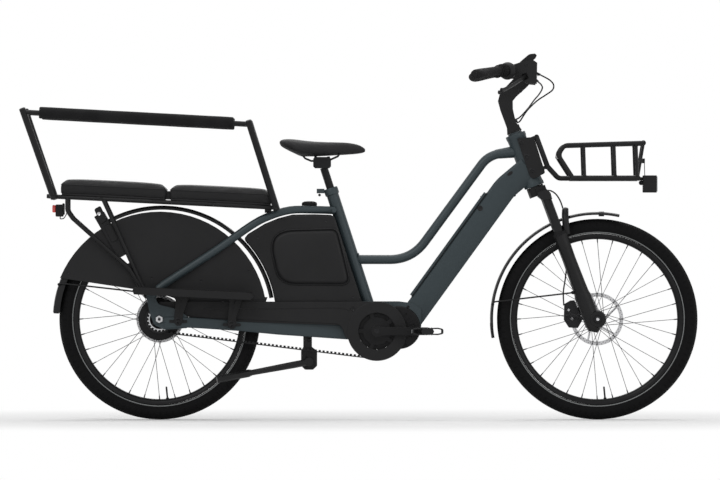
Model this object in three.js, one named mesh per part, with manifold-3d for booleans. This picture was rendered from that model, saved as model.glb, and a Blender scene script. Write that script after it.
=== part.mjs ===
// A longtail cargo bicycle in millimetres: x forward from the rear axle, y to the rider's left, z up
import * as THREE from "three";
import { mergeVertices } from "three/addons/utils/BufferGeometryUtils.js";
import Module from "manifold-3d";

const wasm = await Module();
wasm.setup();

// Driving dimensions
const wheelRadius = 338;
const wheelbase = 1473;
const crankForward = 731;
const crankDrop = 40;
const seatTilt = 18;
const headTilt = 20.3;
const forkRake = 43;
const crankLength = 170;

// Gaps, wall sizes and counts that many pieces share
const clearance = 0.3;
const turnGap = 0.9;
const straight = 1e-6;
const weldGap = 0.001;
const overrun = 6;
const wheelSides = 28;
const fineSides = 12;
const roundSides = 10;
const smallSides = 8;
const boltSides = 6;
const bendSteps = 4;
const spokeCount = 32;

const radians = THREE.MathUtils.degToRad;
const across = [0, 1, 0];
const upward = [0, 0, 1];
const forward = [1, 0, 0];
const half = 0.5;

// Closed geometry as a solid that can be joined and cut
function toSolid(geometry) {
  geometry.deleteAttribute("normal");
  geometry.deleteAttribute("uv");
  const merged = mergeVertices(geometry, weldGap);
  const found = merged.index.array;
  const kept = [];
  for (let i = 0; i < found.length; i += 3) {
    const [a, b, c] = [found[i], found[i + 1], found[i + 2]];
    if (a !== b && b !== c && c !== a) kept.push(a, b, c);
  }
  const build = (order) =>
    new wasm.Manifold(
      new wasm.Mesh({
        numProp: 3,
        vertProperties: new Float32Array(merged.attributes.position.array),
        triVerts: new Uint32Array(order),
      }),
    );
  const made = build(kept);
  return made.volume() > 0 ? made : build(kept.reverse());
}

function toGeometry(solid) {
  const mesh = solid.getMesh();
  const geometry = new THREE.BufferGeometry();
  geometry.setAttribute("position", new THREE.BufferAttribute(mesh.vertProperties, 3));
  geometry.setIndex(new THREE.BufferAttribute(mesh.triVerts, 1));
  geometry.computeVertexNormals();
  return geometry;
}

const join = (...solids) => solids.flat().reduce((whole, next) => whole.add(next));
const cut = (whole, ...tools) => tools.flat().reduce((rest, tool) => rest.subtract(tool), whole);

// A path whose rings stand on its own points, mitred at each corner
class Route extends THREE.Curve {
  constructor(points, side, widths) {
    super();
    this.points = points.map((p) => new THREE.Vector3(...p));
    this.side = new THREE.Vector3(...side);
    this.widths = widths;
  }

  getPoint(t) {
    return this.points[Math.round(t * (this.points.length - 1))].clone();
  }

  getPointAt(u) {
    return this.getPoint(u);
  }

  leg(i) {
    return this.points[i + 1].clone().sub(this.points[i]).normalize();
  }

  computeFrenetFrames(steps) {
    const frames = { tangents: [], normals: [], binormals: [] };
    for (let i = 0; i <= steps; i++) {
      const before = this.leg(Math.max(i - 1, 0));
      const after = this.leg(Math.min(i, steps - 1));
      const tangent = before.clone().add(after).normalize();
      const normal = this.side.clone().addScaledVector(tangent, -this.side.dot(tangent)).normalize();
      const binormal = tangent.clone().cross(normal);
      const turn = after.clone().sub(before);
      if (turn.length() > straight) {
        const stretch = 1 / tangent.dot(after) - 1;
        turn.normalize();
        const onNormal = normal.dot(turn) * stretch;
        const onBinormal = binormal.dot(turn) * stretch;
        normal.addScaledVector(turn, onNormal);
        binormal.addScaledVector(turn, onBinormal);
      }
      const [wide, tall] = this.widths ? this.widths[i] : [1, 1];
      frames.tangents.push(tangent);
      frames.normals.push(normal.multiplyScalar(wide));
      frames.binormals.push(binormal.multiplyScalar(tall));
    }
    return frames;
  }
}

const shapeOf = (outline) => new THREE.Shape(outline.map(([a, b]) => new THREE.Vector2(a, b)));

// A section swept along a path: its first number runs along the side, its second square to it
function tube(points, section, side = across, widths = null) {
  const extrudePath = new Route(points, side, widths);
  const steps = points.length - 1;
  return toSolid(new THREE.ExtrudeGeometry(shapeOf(section), { steps, bevelEnabled: false, extrudePath }));
}

// An outline in x and z, given thickness from yLow to yHigh
function slab(outline, yLow, yHigh) {
  const geometry = new THREE.ExtrudeGeometry(shapeOf(outline), { depth: yHigh - yLow, bevelEnabled: false });
  geometry.rotateX(Math.PI / 2).translate(0, yHigh, 0);
  return toSolid(geometry);
}

// An outline in x and y, given thickness from zLow to zHigh
function layer(outline, zLow, zHigh) {
  const geometry = new THREE.ExtrudeGeometry(shapeOf(outline), { depth: zHigh - zLow, bevelEnabled: false });
  return toSolid(geometry.translate(0, 0, zLow));
}

function block([xLow, xHigh], [yLow, yHigh], [zLow, zHigh]) {
  const geometry = new THREE.BoxGeometry(xHigh - xLow, yHigh - yLow, zHigh - zLow);
  geometry.translate((xLow + xHigh) / 2, (yLow + yHigh) / 2, (zLow + zHigh) / 2);
  return toSolid(geometry);
}

// A profile of radius and y turned about the line through a place in x and z
function turned(profile, place, sides = wheelSides) {
  const points = profile.map(([r, y]) => new THREE.Vector2(r, y));
  return toSolid(new THREE.LatheGeometry(points, sides).translate(place[0], 0, place[1]));
}

const closed = (profile) => [...profile, profile[0]];

const disc = (place, radius, yLow, yHigh, sides = roundSides) =>
  turned([[0, yLow], [radius, yLow], [radius, yHigh], [0, yHigh]], place, sides);

const hoop = (place, inner, outer, yLow, yHigh, sides = wheelSides) =>
  turned(closed([[inner, yLow], [outer, yLow], [outer, yHigh], [inner, yHigh]]), place, sides);

function circle(radius, sides = roundSides, tall = radius) {
  const outline = [];
  for (let i = 0; i < sides; i++) {
    const angle = (2 * Math.PI * (i + half)) / sides;
    outline.push([radius * Math.cos(angle), tall * Math.sin(angle)]);
  }
  return outline;
}

const oblong = (wide, tall) => [[-wide, -tall], [wide, -tall], [wide, tall], [-wide, tall]];

// An oblong with its corners taken off
const chamfered = (wide, tall, corner) => [
  [-wide + corner, -tall],
  [wide - corner, -tall],
  [wide, -tall + corner],
  [wide, tall - corner],
  [wide - corner, tall],
  [-wide + corner, tall],
  [-wide, tall - corner],
  [-wide, -tall + corner],
];

// Points of a path in x, y and z with each inner corner rounded
function bend(points, radius, steps = bendSteps) {
  const places = points.map((p) => new THREE.Vector3(...p));
  const path = [points[0]];
  for (let i = 1; i < places.length - 1; i++) {
    const back = places[i - 1].clone().sub(places[i]);
    const ahead = places[i + 1].clone().sub(places[i]);
    const room = Math.min(back.length(), ahead.length()) * half;
    back.normalize();
    ahead.normalize();
    const halfAngle = back.angleTo(ahead) / 2;
    const wanted = Array.isArray(radius) ? radius[i - 1] : radius;
    const reach = Math.min(wanted / Math.tan(halfAngle), room);
    const size = reach * Math.tan(halfAngle);
    const middle = back.clone().add(ahead).normalize();
    const centre = places[i].clone().addScaledVector(middle, size / Math.sin(halfAngle));
    const start = places[i].clone().addScaledVector(back, reach).sub(centre);
    const end = places[i].clone().addScaledVector(ahead, reach).sub(centre);
    const sweep = start.angleTo(end);
    for (let k = 0; k <= steps; k++) {
      const share = k / steps;
      const spot = start.clone().multiplyScalar(Math.sin((1 - share) * sweep) / Math.sin(sweep));
      spot.addScaledVector(end, Math.sin(share * sweep) / Math.sin(sweep)).add(centre);
      path.push(spot.toArray());
    }
  }
  path.push(points[points.length - 1]);
  return path;
}

function rod(from, to, radius, sides = smallSides) {
  const way = new THREE.Vector3(...to).sub(new THREE.Vector3(...from)).normalize();
  const side = Math.abs(way.y) > Math.SQRT1_2 ? upward : across;
  return tube([from, to], circle(radius, sides), side);
}

// Places in x and z, and arcs between two angles in degrees about such a place
const shift = ([x, z], dx, dz) => [x + dx, z + dz];
const polar = (place, radius, degrees) =>
  shift(place, radius * Math.cos(radians(degrees)), radius * Math.sin(radians(degrees)));

function arc(place, radius, from, to, steps) {
  const outline = [];
  for (let i = 0; i <= steps; i++) outline.push(polar(place, radius, from + ((to - from) * i) / steps));
  return outline;
}

const band = (place, inner, outer, from, to, steps) => [
  ...arc(place, outer, from, to, steps),
  ...arc(place, inner, to, from, steps),
];

const lift = ([x, z], y) => [x, y, z];
const mirrored = (solid) => toSolid(toGeometry(solid).scale(1, -1, 1));
const bothSides = (solid) => solid.add(mirrored(solid));
const between = (a, b, share) => [a[0] + (b[0] - a[0]) * share, a[1] + (b[1] - a[1]) * share];

// Main places in x and z
const rearAxleAt = [0, wheelRadius];
const crankAt = [crankForward, wheelRadius - crankDrop];
const steerAt = [
  wheelbase - forkRake * Math.cos(radians(headTilt)),
  wheelRadius - forkRake * Math.sin(radians(headTilt)),
];
const steerPoint = (u, w) => [
  steerAt[0] - u * Math.sin(radians(headTilt)) + w * Math.cos(radians(headTilt)),
  steerAt[1] + u * Math.cos(radians(headTilt)) + w * Math.sin(radians(headTilt)),
];
const seatPoint = (s, w = 0) => [
  crankAt[0] - s * Math.sin(radians(seatTilt)) + w * Math.cos(radians(seatTilt)),
  crankAt[1] + s * Math.cos(radians(seatTilt)) + w * Math.sin(radians(seatTilt)),
];

// A solid made about the steering axis, set where the head of the frame holds it
function onHead(solid) {
  const turn = new THREE.Matrix4().makeRotationY(-radians(headTilt));
  const place = new THREE.Matrix4().makeTranslation(steerAt[0], 0, steerAt[1]);
  return toSolid(toGeometry(solid).applyMatrix4(place.multiply(turn)));
}

// Finishes
const finish = (color, roughness, metalness) =>
  new THREE.MeshStandardMaterial({ color, roughness, metalness });
const framePaint = finish("#3d4b4f", 0.42, 0.35);
const satinBlack = finish("#1b1c1e", 0.55, 0.2);
const matteBlack = finish("#232426", 0.8, 0);
const softRubber = finish("#17181a", 0.95, 0);
const padVinyl = finish("#1e1f21", 0.7, 0);
const bareSteel = finish("#9a9ea2", 0.3, 0.9);
const darkSteel = finish("#3c3e41", 0.35, 0.8);
const redLens = finish("#8d1216", 0.25, 0);
const clearLens = finish("#b9bdbf", 0.15, 0);

const bike = new THREE.Group();
const steering = new THREE.Group();
steering.position.set(steerAt[0], 0, steerAt[1]);
steering.rotation.y = -radians(headTilt);
const frontWheel = new THREE.Group();
frontWheel.position.set(forkRake, 0, 0);
frontWheel.rotation.y = radians(headTilt);
steering.add(frontWheel);
bike.add(steering);

function addPiece(name, solid, material, group = bike) {
  const mesh = new THREE.Mesh(toGeometry(solid), material);
  mesh.name = name;
  group.add(mesh);
}

// Wheels: a casing open towards the rim, a rim with a well, hubs laced with crossed spokes
const tyreTall = 28;
const tyreWide = 30;
const tyreWall = 4;
const tyreWrap = 140;
const tyreSteps = 6;
const rimDepth = 19.5;
const rimWellDepth = 9.5;
const rimHalf = 19;
const rimFloor = 9;
const rimWall = 3;
const spokeRadius = 1.3;
const spokeStagger = 2;
const wheelMiddle = [0, 0];
const spokeRimOffset = 4;
const axleRadius = 6;
const bossRadius = 10;
const discBossRadius = 17.7;
const discThickness = 2;

const tyreMiddle = wheelRadius - tyreTall;
const beadRadius = tyreMiddle + tyreTall * Math.cos(radians(tyreWrap));
const rimTop = beadRadius - clearance;
const rimInner = rimTop - rimDepth;

function tyre(place) {
  const sweep = (tall, wide, steps) => {
    const points = [];
    for (let i = 0; i <= steps; i++) {
      const angle = radians(tyreWrap * ((2 * i) / steps - 1));
      points.push([tyreMiddle + tall * Math.cos(angle), wide * Math.sin(angle)]);
    }
    return points;
  };
  const outer = sweep(tyreTall, tyreWide, tyreSteps);
  const inner = sweep(tyreTall - tyreWall, tyreWide - tyreWall, 2).reverse();
  return turned(closed([...outer, ...inner]), place);
}

function rim(place) {
  const well = rimTop - rimWellDepth;
  const lip = rimHalf - rimWall;
  const right = [[rimInner, -rimFloor], [rimTop, -rimHalf], [rimTop, -lip], [well, -rimFloor]];
  const left = right.map(([r, y]) => [r, -y]).reverse();
  return turned(closed([...right, ...left]), place);
}

function spokes(place, flangeRadius, flangeHalf, lace) {
  const end = (rimInner - clearance) * Math.cos(Math.PI / wheelSides) - clearance;
  const made = [];
  for (let i = 0; i < spokeCount; i++) {
    const side = i % 2 ? 1 : -1;
    const way = i % 4 < 2 ? 1 : -1;
    const angle = (360 * i) / spokeCount;
    const root = polar(place, flangeRadius, angle + lace * way);
    const from = lift(root, side * (flangeHalf + way * spokeStagger));
    const to = lift(polar(place, end, angle), side * (spokeRimOffset + way * spokeStagger));
    made.push(rod(from, to, spokeRadius, 3));
  }
  return made;
}

// Rear hub: a geared shell, the sprocket's boss on the right and the disc's on the left
const dropoutInner = 68;
const rearShellRadius = 71;
const rearShellRight = 40;
const rearShellLeft = 45;
const rearShellEdge = 8;
const rearSpokeHalf = 31;
const rearLace = 20;
const sprocketBossRadius = 17;
const sprocketBossEnd = 58;
const rearDiscAt = 58;
const rearDiscShoulder = 30;

function rearHub() {
  const bore = axleRadius + turnGap;
  const end = dropoutInner - clearance;
  const shoulder = rearDiscAt - clearance;
  const discEnd = rearDiscAt + discThickness + clearance;
  const shell = turned(
    closed([
      [bore, -end],
      [bossRadius, -end],
      [bossRadius, -sprocketBossEnd],
      [sprocketBossRadius, -sprocketBossEnd],
      [sprocketBossRadius, -rearShellRight],
      [rearShellRadius - rearShellEdge, -rearShellRight],
      [rearShellRadius, rearShellEdge - rearShellRight],
      [rearShellRadius, rearShellLeft - rearShellEdge],
      [rearShellRadius - rearShellEdge, rearShellLeft],
      [rearDiscShoulder, rearShellLeft],
      [rearDiscShoulder, shoulder],
      [discBossRadius, shoulder],
      [discBossRadius, discEnd],
      [bossRadius, discEnd],
      [bossRadius, end],
      [bore, end],
    ]),
    rearAxleAt,
    fineSides,
  );
  return join(shell, spokes(rearAxleAt, rearShellRadius - rearShellEdge, rearSpokeHalf, rearLace));
}

// Front hub: two flanges on a slim barrel
const legInner = 42;
const frontFlangeRadius = 30;
const frontFlangeIn = 25;
const frontFlangeOut = 33;
const frontBarrelRadius = 15;
const frontLace = 60;
const frontSpokeInset = 4;
const frontDiscAt = 36;
const frontDiscShoulder = 20;
const frontEndRadius = 12;

function frontHub(place) {
  const bore = axleRadius + turnGap;
  const end = legInner - clearance;
  const shoulder = frontDiscAt - clearance;
  const discEnd = frontDiscAt + discThickness + clearance;
  const shell = turned(
    closed([
      [bore, -end],
      [frontEndRadius, -end],
      [frontEndRadius, -frontFlangeOut],
      [frontFlangeRadius, -frontFlangeOut],
      [frontFlangeRadius, -frontFlangeIn],
      [frontBarrelRadius, -frontFlangeIn],
      [frontBarrelRadius, frontFlangeIn],
      [frontFlangeRadius, frontFlangeIn],
      [frontFlangeRadius, frontFlangeOut],
      [frontDiscShoulder, frontFlangeOut],
      [frontDiscShoulder, shoulder],
      [discBossRadius, shoulder],
      [discBossRadius, discEnd],
      [frontEndRadius, discEnd],
      [frontEndRadius, end],
      [bore, end],
    ]),
    place,
    fineSides,
  );
  const flangeHalf = (frontFlangeIn + frontFlangeOut) / 2;
  return join(shell, spokes(place, frontFlangeRadius - frontSpokeInset, flangeHalf, frontLace));
}

// Brake discs: a braking ring on five curved arms
const rearDiscRadius = 80;
const frontDiscRadius = 89;
const discRing = 13;
const discCentre = 27;
const discArms = 5;
const discArmWidth = 7;
const discArmLean = 32;

function brakeDisc(place, radius, yLow) {
  const yHigh = yLow + discThickness;
  const bore = discBossRadius + clearance;
  const arms = [];
  for (let i = 0; i < discArms; i++) {
    const angle = (360 * i) / discArms;
    const root = polar(place, discCentre - discArmWidth * half, angle);
    const tip = polar(place, radius - discRing * half, angle + discArmLean);
    const middle = (yLow + yHigh) / 2;
    arms.push(tube([lift(root, middle), lift(tip, middle)], oblong(discThickness / 2, discArmWidth / 2)));
  }
  const ring = hoop(place, radius - discRing, radius, yLow, yHigh);
  return join(ring, hoop(place, bore, discCentre, yLow, yHigh, fineSides), arms);
}

// Belt drive: tooth counts set both pitch circles
const beltPitch = 13.2;
const rearTeeth = 20;
const frontTeeth = 44;
const beltBack = 2;
const beltFace = 0.4;
const beltRight = 58;
const beltLeft = 46;
const sprocketInset = 1;
const toothGap = 0.7;
const toothDepth = 2.6;
const beltRearSteps = 14;
const beltFrontSteps = 26;

const pitchRadius = (teeth) => (teeth * beltPitch) / (2 * Math.PI);
const rearPitch = pitchRadius(rearTeeth);
const frontPitch = pitchRadius(frontTeeth);

function toothedDisc(place, teeth, yLow, yHigh) {
  const tip = pitchRadius(teeth) - toothGap;
  const step = 360 / teeth;
  const outline = [];
  for (let i = 0; i < teeth; i++) {
    outline.push(polar(place, tip - toothDepth, step * i));
    outline.push(polar(place, tip, step * (i + half)));
  }
  return slab(outline, yLow, yHigh);
}

function driveBelt() {
  const lean = (Math.atan2(crankAt[1] - rearAxleAt[1], crankForward) * 180) / Math.PI;
  const reach = Math.hypot(crankForward, crankAt[1] - rearAxleAt[1]);
  const spread = (Math.asin((frontPitch - rearPitch) / reach) * 180) / Math.PI;
  const top = lean + 90 + spread;
  const bottom = lean - 90 - spread;
  const rearArc = (offset) => arc(rearAxleAt, rearPitch + offset, top, bottom + 360, beltRearSteps);
  const frontArc = (offset) => arc(crankAt, frontPitch + offset, bottom, top, beltFrontSteps);
  const outer = slab([...rearArc(beltBack), ...frontArc(beltBack)], -beltRight, -beltLeft);
  const inner = [...rearArc(-beltFace), ...frontArc(-beltFace)];
  return cut(outer, slab(inner, -beltRight - overrun, overrun - beltLeft));
}

function rearSprocket() {
  const disk = toothedDisc(rearAxleAt, rearTeeth, sprocketInset - beltRight, -beltLeft - sprocketInset);
  const bore = sprocketBossRadius + turnGap;
  return cut(disk, disc(rearAxleAt, bore, -beltRight - overrun, overrun - beltLeft, fineSides));
}

// Cranks: the right one holds the spindle and the front chainwheel, both hold a pedal pin
const spindleRadius = 12;
const armInner = 72;
const armOuter = 87;
const armRoot = 15;
const armTip = 13;
const spiderDisc = 48;
const spiderRing = 62;
const spiderArms = 5;
const spiderArmHalf = 7;
const spiderBoss = 20;
const pedalPin = 5;
const pedalInner = 97;
const pedalOuter = 192;

function crankArm(way) {
  const tipAt = shift(crankAt, way * crankLength, 0);
  const turn = way > 0 ? 0 : 180;
  const outline = [
    ...arc(tipAt, armTip, turn - 90, turn + 90, smallSides),
    ...arc(crankAt, armRoot, turn + 90, turn + 270, smallSides),
  ];
  return slab(outline, armInner, armOuter);
}

const pedalAt = (way) => shift(crankAt, way * crankLength, 0);

function crankRight() {
  const yLow = sprocketInset - beltRight;
  const yHigh = -beltLeft - sprocketInset;
  const wheel = cut(
    toothedDisc(crankAt, frontTeeth, yLow, yHigh),
    disc(crankAt, spiderRing, yLow - overrun, yHigh + overrun, fineSides),
  );
  const arms = [];
  for (let i = 0; i < spiderArms; i++) {
    const angle = (360 * (i + half)) / spiderArms;
    const ends = [polar(crankAt, spiderDisc - overrun, angle), polar(crankAt, spiderRing + overrun, angle)];
    const middle = (yLow + yHigh) / 2;
    arms.push(tube(ends.map((p) => lift(p, middle)), oblong((yHigh - yLow) / 2, spiderArmHalf)));
  }
  const pin = disc(pedalAt(1), pedalPin, pedalEnd - pedalOuter, -armInner, smallSides);
  return join(
    wheel,
    arms,
    disc(crankAt, spiderDisc, yLow, yHigh, fineSides),
    disc(crankAt, spiderBoss, -armOuter, yHigh),
    disc(crankAt, spindleRadius, -armOuter, armOuter),
    mirrored(crankArm(1)),
    pin,
  );
}

function crankLeft() {
  const pin = disc(pedalAt(-1), pedalPin, armInner, pedalOuter - pedalEnd, smallSides);
  const bore = disc(crankAt, spindleRadius + clearance, armInner - overrun, armOuter + overrun);
  return cut(join(crankArm(-1), pin), bore);
}

// Pedals: a cage of two long bars round a barrel
const pedalLength = 105;
const pedalThick = 25;
const pedalBarrel = 11;
const pedalBar = 13;
const pedalEnd = 12;
const pedalShares = [[-1, 0], [-0.76, 1], [0.76, 1], [1, 0], [0.76, -1], [-0.76, -1]];

function pedal(place) {
  const long = pedalLength / 2;
  const tall = pedalThick / 2;
  const outline = pedalShares.map(([a, b]) => shift(place, a * long, b * tall));
  const body = slab(outline, pedalInner, pedalOuter);
  const window = (way) => {
    const near = place[0] + way * pedalBarrel;
    const far = place[0] + way * (long - pedalBar);
    const xRange = way > 0 ? [near, far] : [far, near];
    const zRange = [place[1] - tall - overrun, place[1] + tall + overrun];
    return block(xRange, [pedalInner + pedalEnd, pedalOuter - pedalEnd], zRange);
  };
  const boreEnd = pedalOuter - pedalEnd + clearance;
  const bore = disc(place, pedalPin + turnGap, pedalInner - overrun, boreEnd, smallSides);
  return cut(body, window(1), window(-1), bore);
}

// Frame: drive unit bracket, tubes, stays, rear dropouts and head
const motorForward = 75;
const motorRise = 13;
const motorCase = 57;
const motorBelly = 73;
const motorShell = 60;
const motorHalf = 44;
const bracketWall = 17;
const bracketHalf = 40;
const bracketTop = 87;
const bracketRear = 91;
const bracketLow = 30;
const seatTubeRadius = 20.5;
const seatTubeLength = 484;
const collarRadius = 24;
const collarHeight = 22;
const postRadius = 13.6;
const postDepth = 300;
const topTubeRadius = 15.5;
const topTubeSeat = 253;
const topTubeRun = 196;
const topTubeRear = 146;
const topTubeFront = 94;
const topTubeHead = 620;
const topTubeKneeBack = 111;
const topTubeKneeDrop = 15;
const topTubeFlare = 22;
const downTubeHead = 560;
const downTubeKneeBack = 78.4;
const downTubeKneeDrop = 65.3;
const downTubeBend = 150;
const downTubeFootForward = 16;
const downTubeFootRise = 5;
const downTubeTop = 36;
const downTubeBottom = 45;
const downTubeHalf = 36;
const downTubeChamfer = 20;
const downTubeKeel = 24;
const headLow = 492;
const headHigh = 680;
const headHalf = 33;
const headRing = 24;
const headRingHeight = 6;
const steererRadius = 14.3;
const steererGap = 0.8;
const chainstayHalf = 8;
const chainstayEnd = 655;
const chainstayRear = 18;
const chainstayRise = 12;
const chainstayDrop = 3;
const chainstayDepth = 53;
const dropoutOuter = 78;
const dropoutLong = 140;
const dropoutTall = 129;
const stayJoin = 427;
const stayWide = 20;
const stayTall = 26;
const standAt = 498;
const standBridge = 39;

const motorAt = shift(crankAt, motorForward, motorRise);
const bracketOuter = motorCase + clearance + bracketWall;
const stayMiddle = (dropoutInner + dropoutOuter) / 2;
const stayFoot = shift(rearAxleAt, -0.18 * dropoutLong, 0.6 * dropoutTall);

const dropoutShares = [
  [-0.32, 0.62], [-0.14, 0.73], [-0.06, 0.465], [0, 0.38], [0.44, 0.26], [0.68, 0.07], [0.68, -0.23],
  [0.13, -0.27], [-0.085, -0.17], [-0.135, -0.125], [-0.235, 0.185],
];
// Along the stay, its fall, its depth and its distance to the side
const chainstayShares = [
  [0, 0, 0.79, 1], [0.116, -0.05, 0.66, 1], [0.396, 0.33, 0.65, 0.71], [0.6, 0.565, 0.85, 0.63],
  [0.757, 0.72, 0.93, 0.55], [0.914, 0.92, 0.96, 0.45], [1, 1, 1, 0.42],
];
// From the dropout to the seat tube, in x, to the side and in z
const stayShares = [
  [0, 0.986, 0], [0.05, 0.96, 0.114], [0.136, 0.85, 0.239], [0.348, 0.785, 0.54], [0.527, 0.753, 0.813],
  [0.625, 0.685, 0.927], [0.744, 0.55, 1.003], [0.873, 0.41, 1.007], [0.986, 0.27, 1],
];

const motorOutline = (gap) =>
  join(
    disc(motorAt, motorCase + gap, -motorHalf - gap, motorHalf + gap, fineSides),
    disc(crankAt, motorShell + gap, -motorHalf - gap, motorHalf + gap, fineSides),
    slab(arc(motorAt, motorBelly + gap, -180, 0, roundSides), -motorHalf - gap, motorHalf + gap),
  );

function motorBracket() {
  const left = crankAt[0] - bracketRear;
  const top = motorAt[1] + bracketTop;
  const right = motorAt[0] + bracketOuter;
  const floor = motorAt[1] + clearance;
  const outline = [
    [left, crankAt[1] - bracketLow],
    [left, top],
    [motorAt[0], top],
    [motorAt[0] + bracketOuter * 0.6, top - bracketOuter * 0.08],
    [right, top - bracketOuter * 0.35],
    [right, floor],
    [motorAt[0], floor],
    [crankAt[0], crankAt[1] - bracketLow],
  ];
  return slab(outline, -bracketHalf, bracketHalf);
}

const stayPlaces = () => {
  const seat = seatPoint(stayJoin);
  return stayShares.map(([a, b, c]) => [
    stayFoot[0] + a * (seat[0] - stayFoot[0]),
    b * stayMiddle,
    stayFoot[1] + c * (seat[1] - stayFoot[1]),
  ]);
};

function chainstay() {
  const rear = shift(rearAxleAt, chainstayRear, -chainstayRise);
  const front = [chainstayEnd, crankAt[1] - chainstayDrop];
  const points = chainstayShares.map(([a, fall, , side]) => [
    rear[0] + a * (front[0] - rear[0]),
    side * stayMiddle,
    rear[1] + fall * (front[1] - rear[1]),
  ]);
  const widths = chainstayShares.map(([, , depth]) => [chainstayHalf, depth * chainstayDepth * half]);
  return tube(points, [[-1, -1], [1, -1], [1, 1], [-1, 1]], across, widths);
}

function dropout() {
  const outline = dropoutShares.map(([a, b]) => shift(rearAxleAt, a * dropoutLong, b * dropoutTall));
  const slot = polar(rearAxleAt, dropoutLong * 0.26, 68);
  const plate = slab(outline, dropoutInner, dropoutOuter);
  const through = [dropoutInner - overrun, dropoutOuter + overrun];
  const bore = disc(rearAxleAt, axleRadius + clearance, ...through);
  return cut(plate, bore, disc(slot, axleRadius * 0.7, ...through, smallSides));
}

const downTubeRoute = () => {
  const head = steerPoint(downTubeHead, 0);
  const knee = shift(head, -downTubeKneeBack, -downTubeKneeDrop);
  const foot = shift(motorAt, downTubeFootForward, downTubeFootRise);
  return { foot, knee, head };
};

function downTube() {
  const { foot, knee, head } = downTubeRoute();
  const side = downTubeBottom - downTubeChamfer;
  const section = [
    [-downTubeHalf, -side],
    [-downTubeKeel, -downTubeBottom],
    [downTubeKeel, -downTubeBottom],
    [downTubeHalf, -side],
    [downTubeHalf, downTubeTop * 0.8],
    [downTubeHalf * 0.85, downTubeTop],
    [-downTubeHalf * 0.85, downTubeTop],
    [-downTubeHalf, downTubeTop * 0.8],
  ];
  return tube(bend([lift(foot, 0), lift(knee, 0), lift(head, 0)], downTubeBend), section);
}

function topTube() {
  const start = seatPoint(topTubeSeat);
  const end = steerPoint(topTubeHead, 0);
  const knee = shift(end, -topTubeKneeBack, -topTubeKneeDrop);
  const corners = [start, shift(start, topTubeRun, 0), knee, end].map((p) => lift(p, 0));
  const pipe = tube(bend(corners, [topTubeRear, topTubeFront]), circle(topTubeRadius));
  const flare = tube(
    [lift(knee, 0), lift(end, 0)],
    circle(1),
    across,
    [[topTubeRadius, topTubeRadius], [topTubeFlare, topTubeFlare]],
  );
  return join(pipe, flare);
}

// The head tube stands on the steering axis, here upright about zero
function headTube() {
  const outer = layer(circle(headHalf, fineSides), headLow, headHigh);
  const ring = layer(circle(headRing, fineSides), headHigh - overrun, headHigh + headRingHeight);
  const bosses = rackBoltShares.map(([a, b]) =>
    disc([b * headHalf, upHead(a)], rackBoss, clearance - rackPlateAt, rackPlateAt - clearance, smallSides));
  return join(outer, ring, bosses);
}

const headBore = () =>
  layer(circle(steererRadius + steererGap, fineSides), headLow - overrun, headHigh + 2 * overrun);

// The rack's side plates bolt to bosses on the head: places up the head and forward of its axis
const rackPlateAt = 36.3;
const rackBoss = 8;
const rackBoltShares = [[0.835, 0.24], [0.57, 0.21], [0.28, 0.18]];
const upHead = (share) => headLow + share * (headHigh - headLow);

function frame() {
  const seatTube = rod(
    lift(seatPoint(seatTubeRadius), 0),
    lift(seatPoint(seatTubeLength), 0),
    seatTubeRadius,
    fineSides,
  );
  const collar = rod(
    lift(seatPoint(seatTubeLength - overrun), 0),
    lift(seatPoint(seatTubeLength + collarHeight), 0),
    collarRadius,
    fineSides,
  );
  const collarTop = seatTubeLength + collarHeight;
  const postBore = rod(
    lift(seatPoint(collarTop - postDepth), 0),
    lift(seatPoint(collarTop + overrun), 0),
    postRadius + clearance,
    fineSides,
  );
  const ears = block(
    [seatPoint(collarTop)[0] - 2 * collarRadius, seatPoint(collarTop)[0]],
    [-collarRadius * half, collarRadius * half],
    [seatPoint(collarTop - collarHeight * 0.8)[1], seatPoint(collarTop - collarHeight * 0.1)[1]],
  );
  const stayTube = tube(stayPlaces(), circle(stayWide / 2, boltSides, stayTall / 2));
  const stayLow = crankAt[1] - chainstayDrop - chainstayDepth * half;
  const bridge = block(
    [standAt - standBridge / 2, standAt + standBridge / 2],
    [-stayMiddle * half, stayMiddle * half],
    [stayLow + 2 * chainstayHalf, stayLow + 4 * chainstayHalf],
  );
  const solid = join(
    seatTube,
    collar,
    ears,
    motorBracket(),
    downTube(),
    topTube(),
    bothSides(join(chainstay(), stayTube, dropout())),
    bridge,
    onHead(headTube()),
  );
  return cut(solid, postBore, motorOutline(clearance), onHead(headBore()), batteryPocket());
}

// Drive unit, with cooling ribs under its belly
const ribCount = 5;
const ribDepth = 3;

function motorUnit() {
  const ribs = [];
  for (let i = 0; i < ribCount; i++) {
    const angle = -150 + (120 * i) / (ribCount - 1);
    const spot = polar(motorAt, motorBelly, angle);
    ribs.push(disc(spot, ribDepth, -motorHalf - overrun, motorHalf + overrun, smallSides));
  }
  return cut(
    motorOutline(0),
    ribs,
    disc(crankAt, spindleRadius + turnGap, -motorHalf - overrun, motorHalf + overrun),
  );
}

// Battery: a pack sunk into the down tube under a cover that stands proud of it
const batteryStart = 95;
const batteryLength = 430;
const batteryFloor = 10;
const batteryHalf = 30;
const batteryCover = 9;
const batteryCoverHalf = 34;

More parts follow.
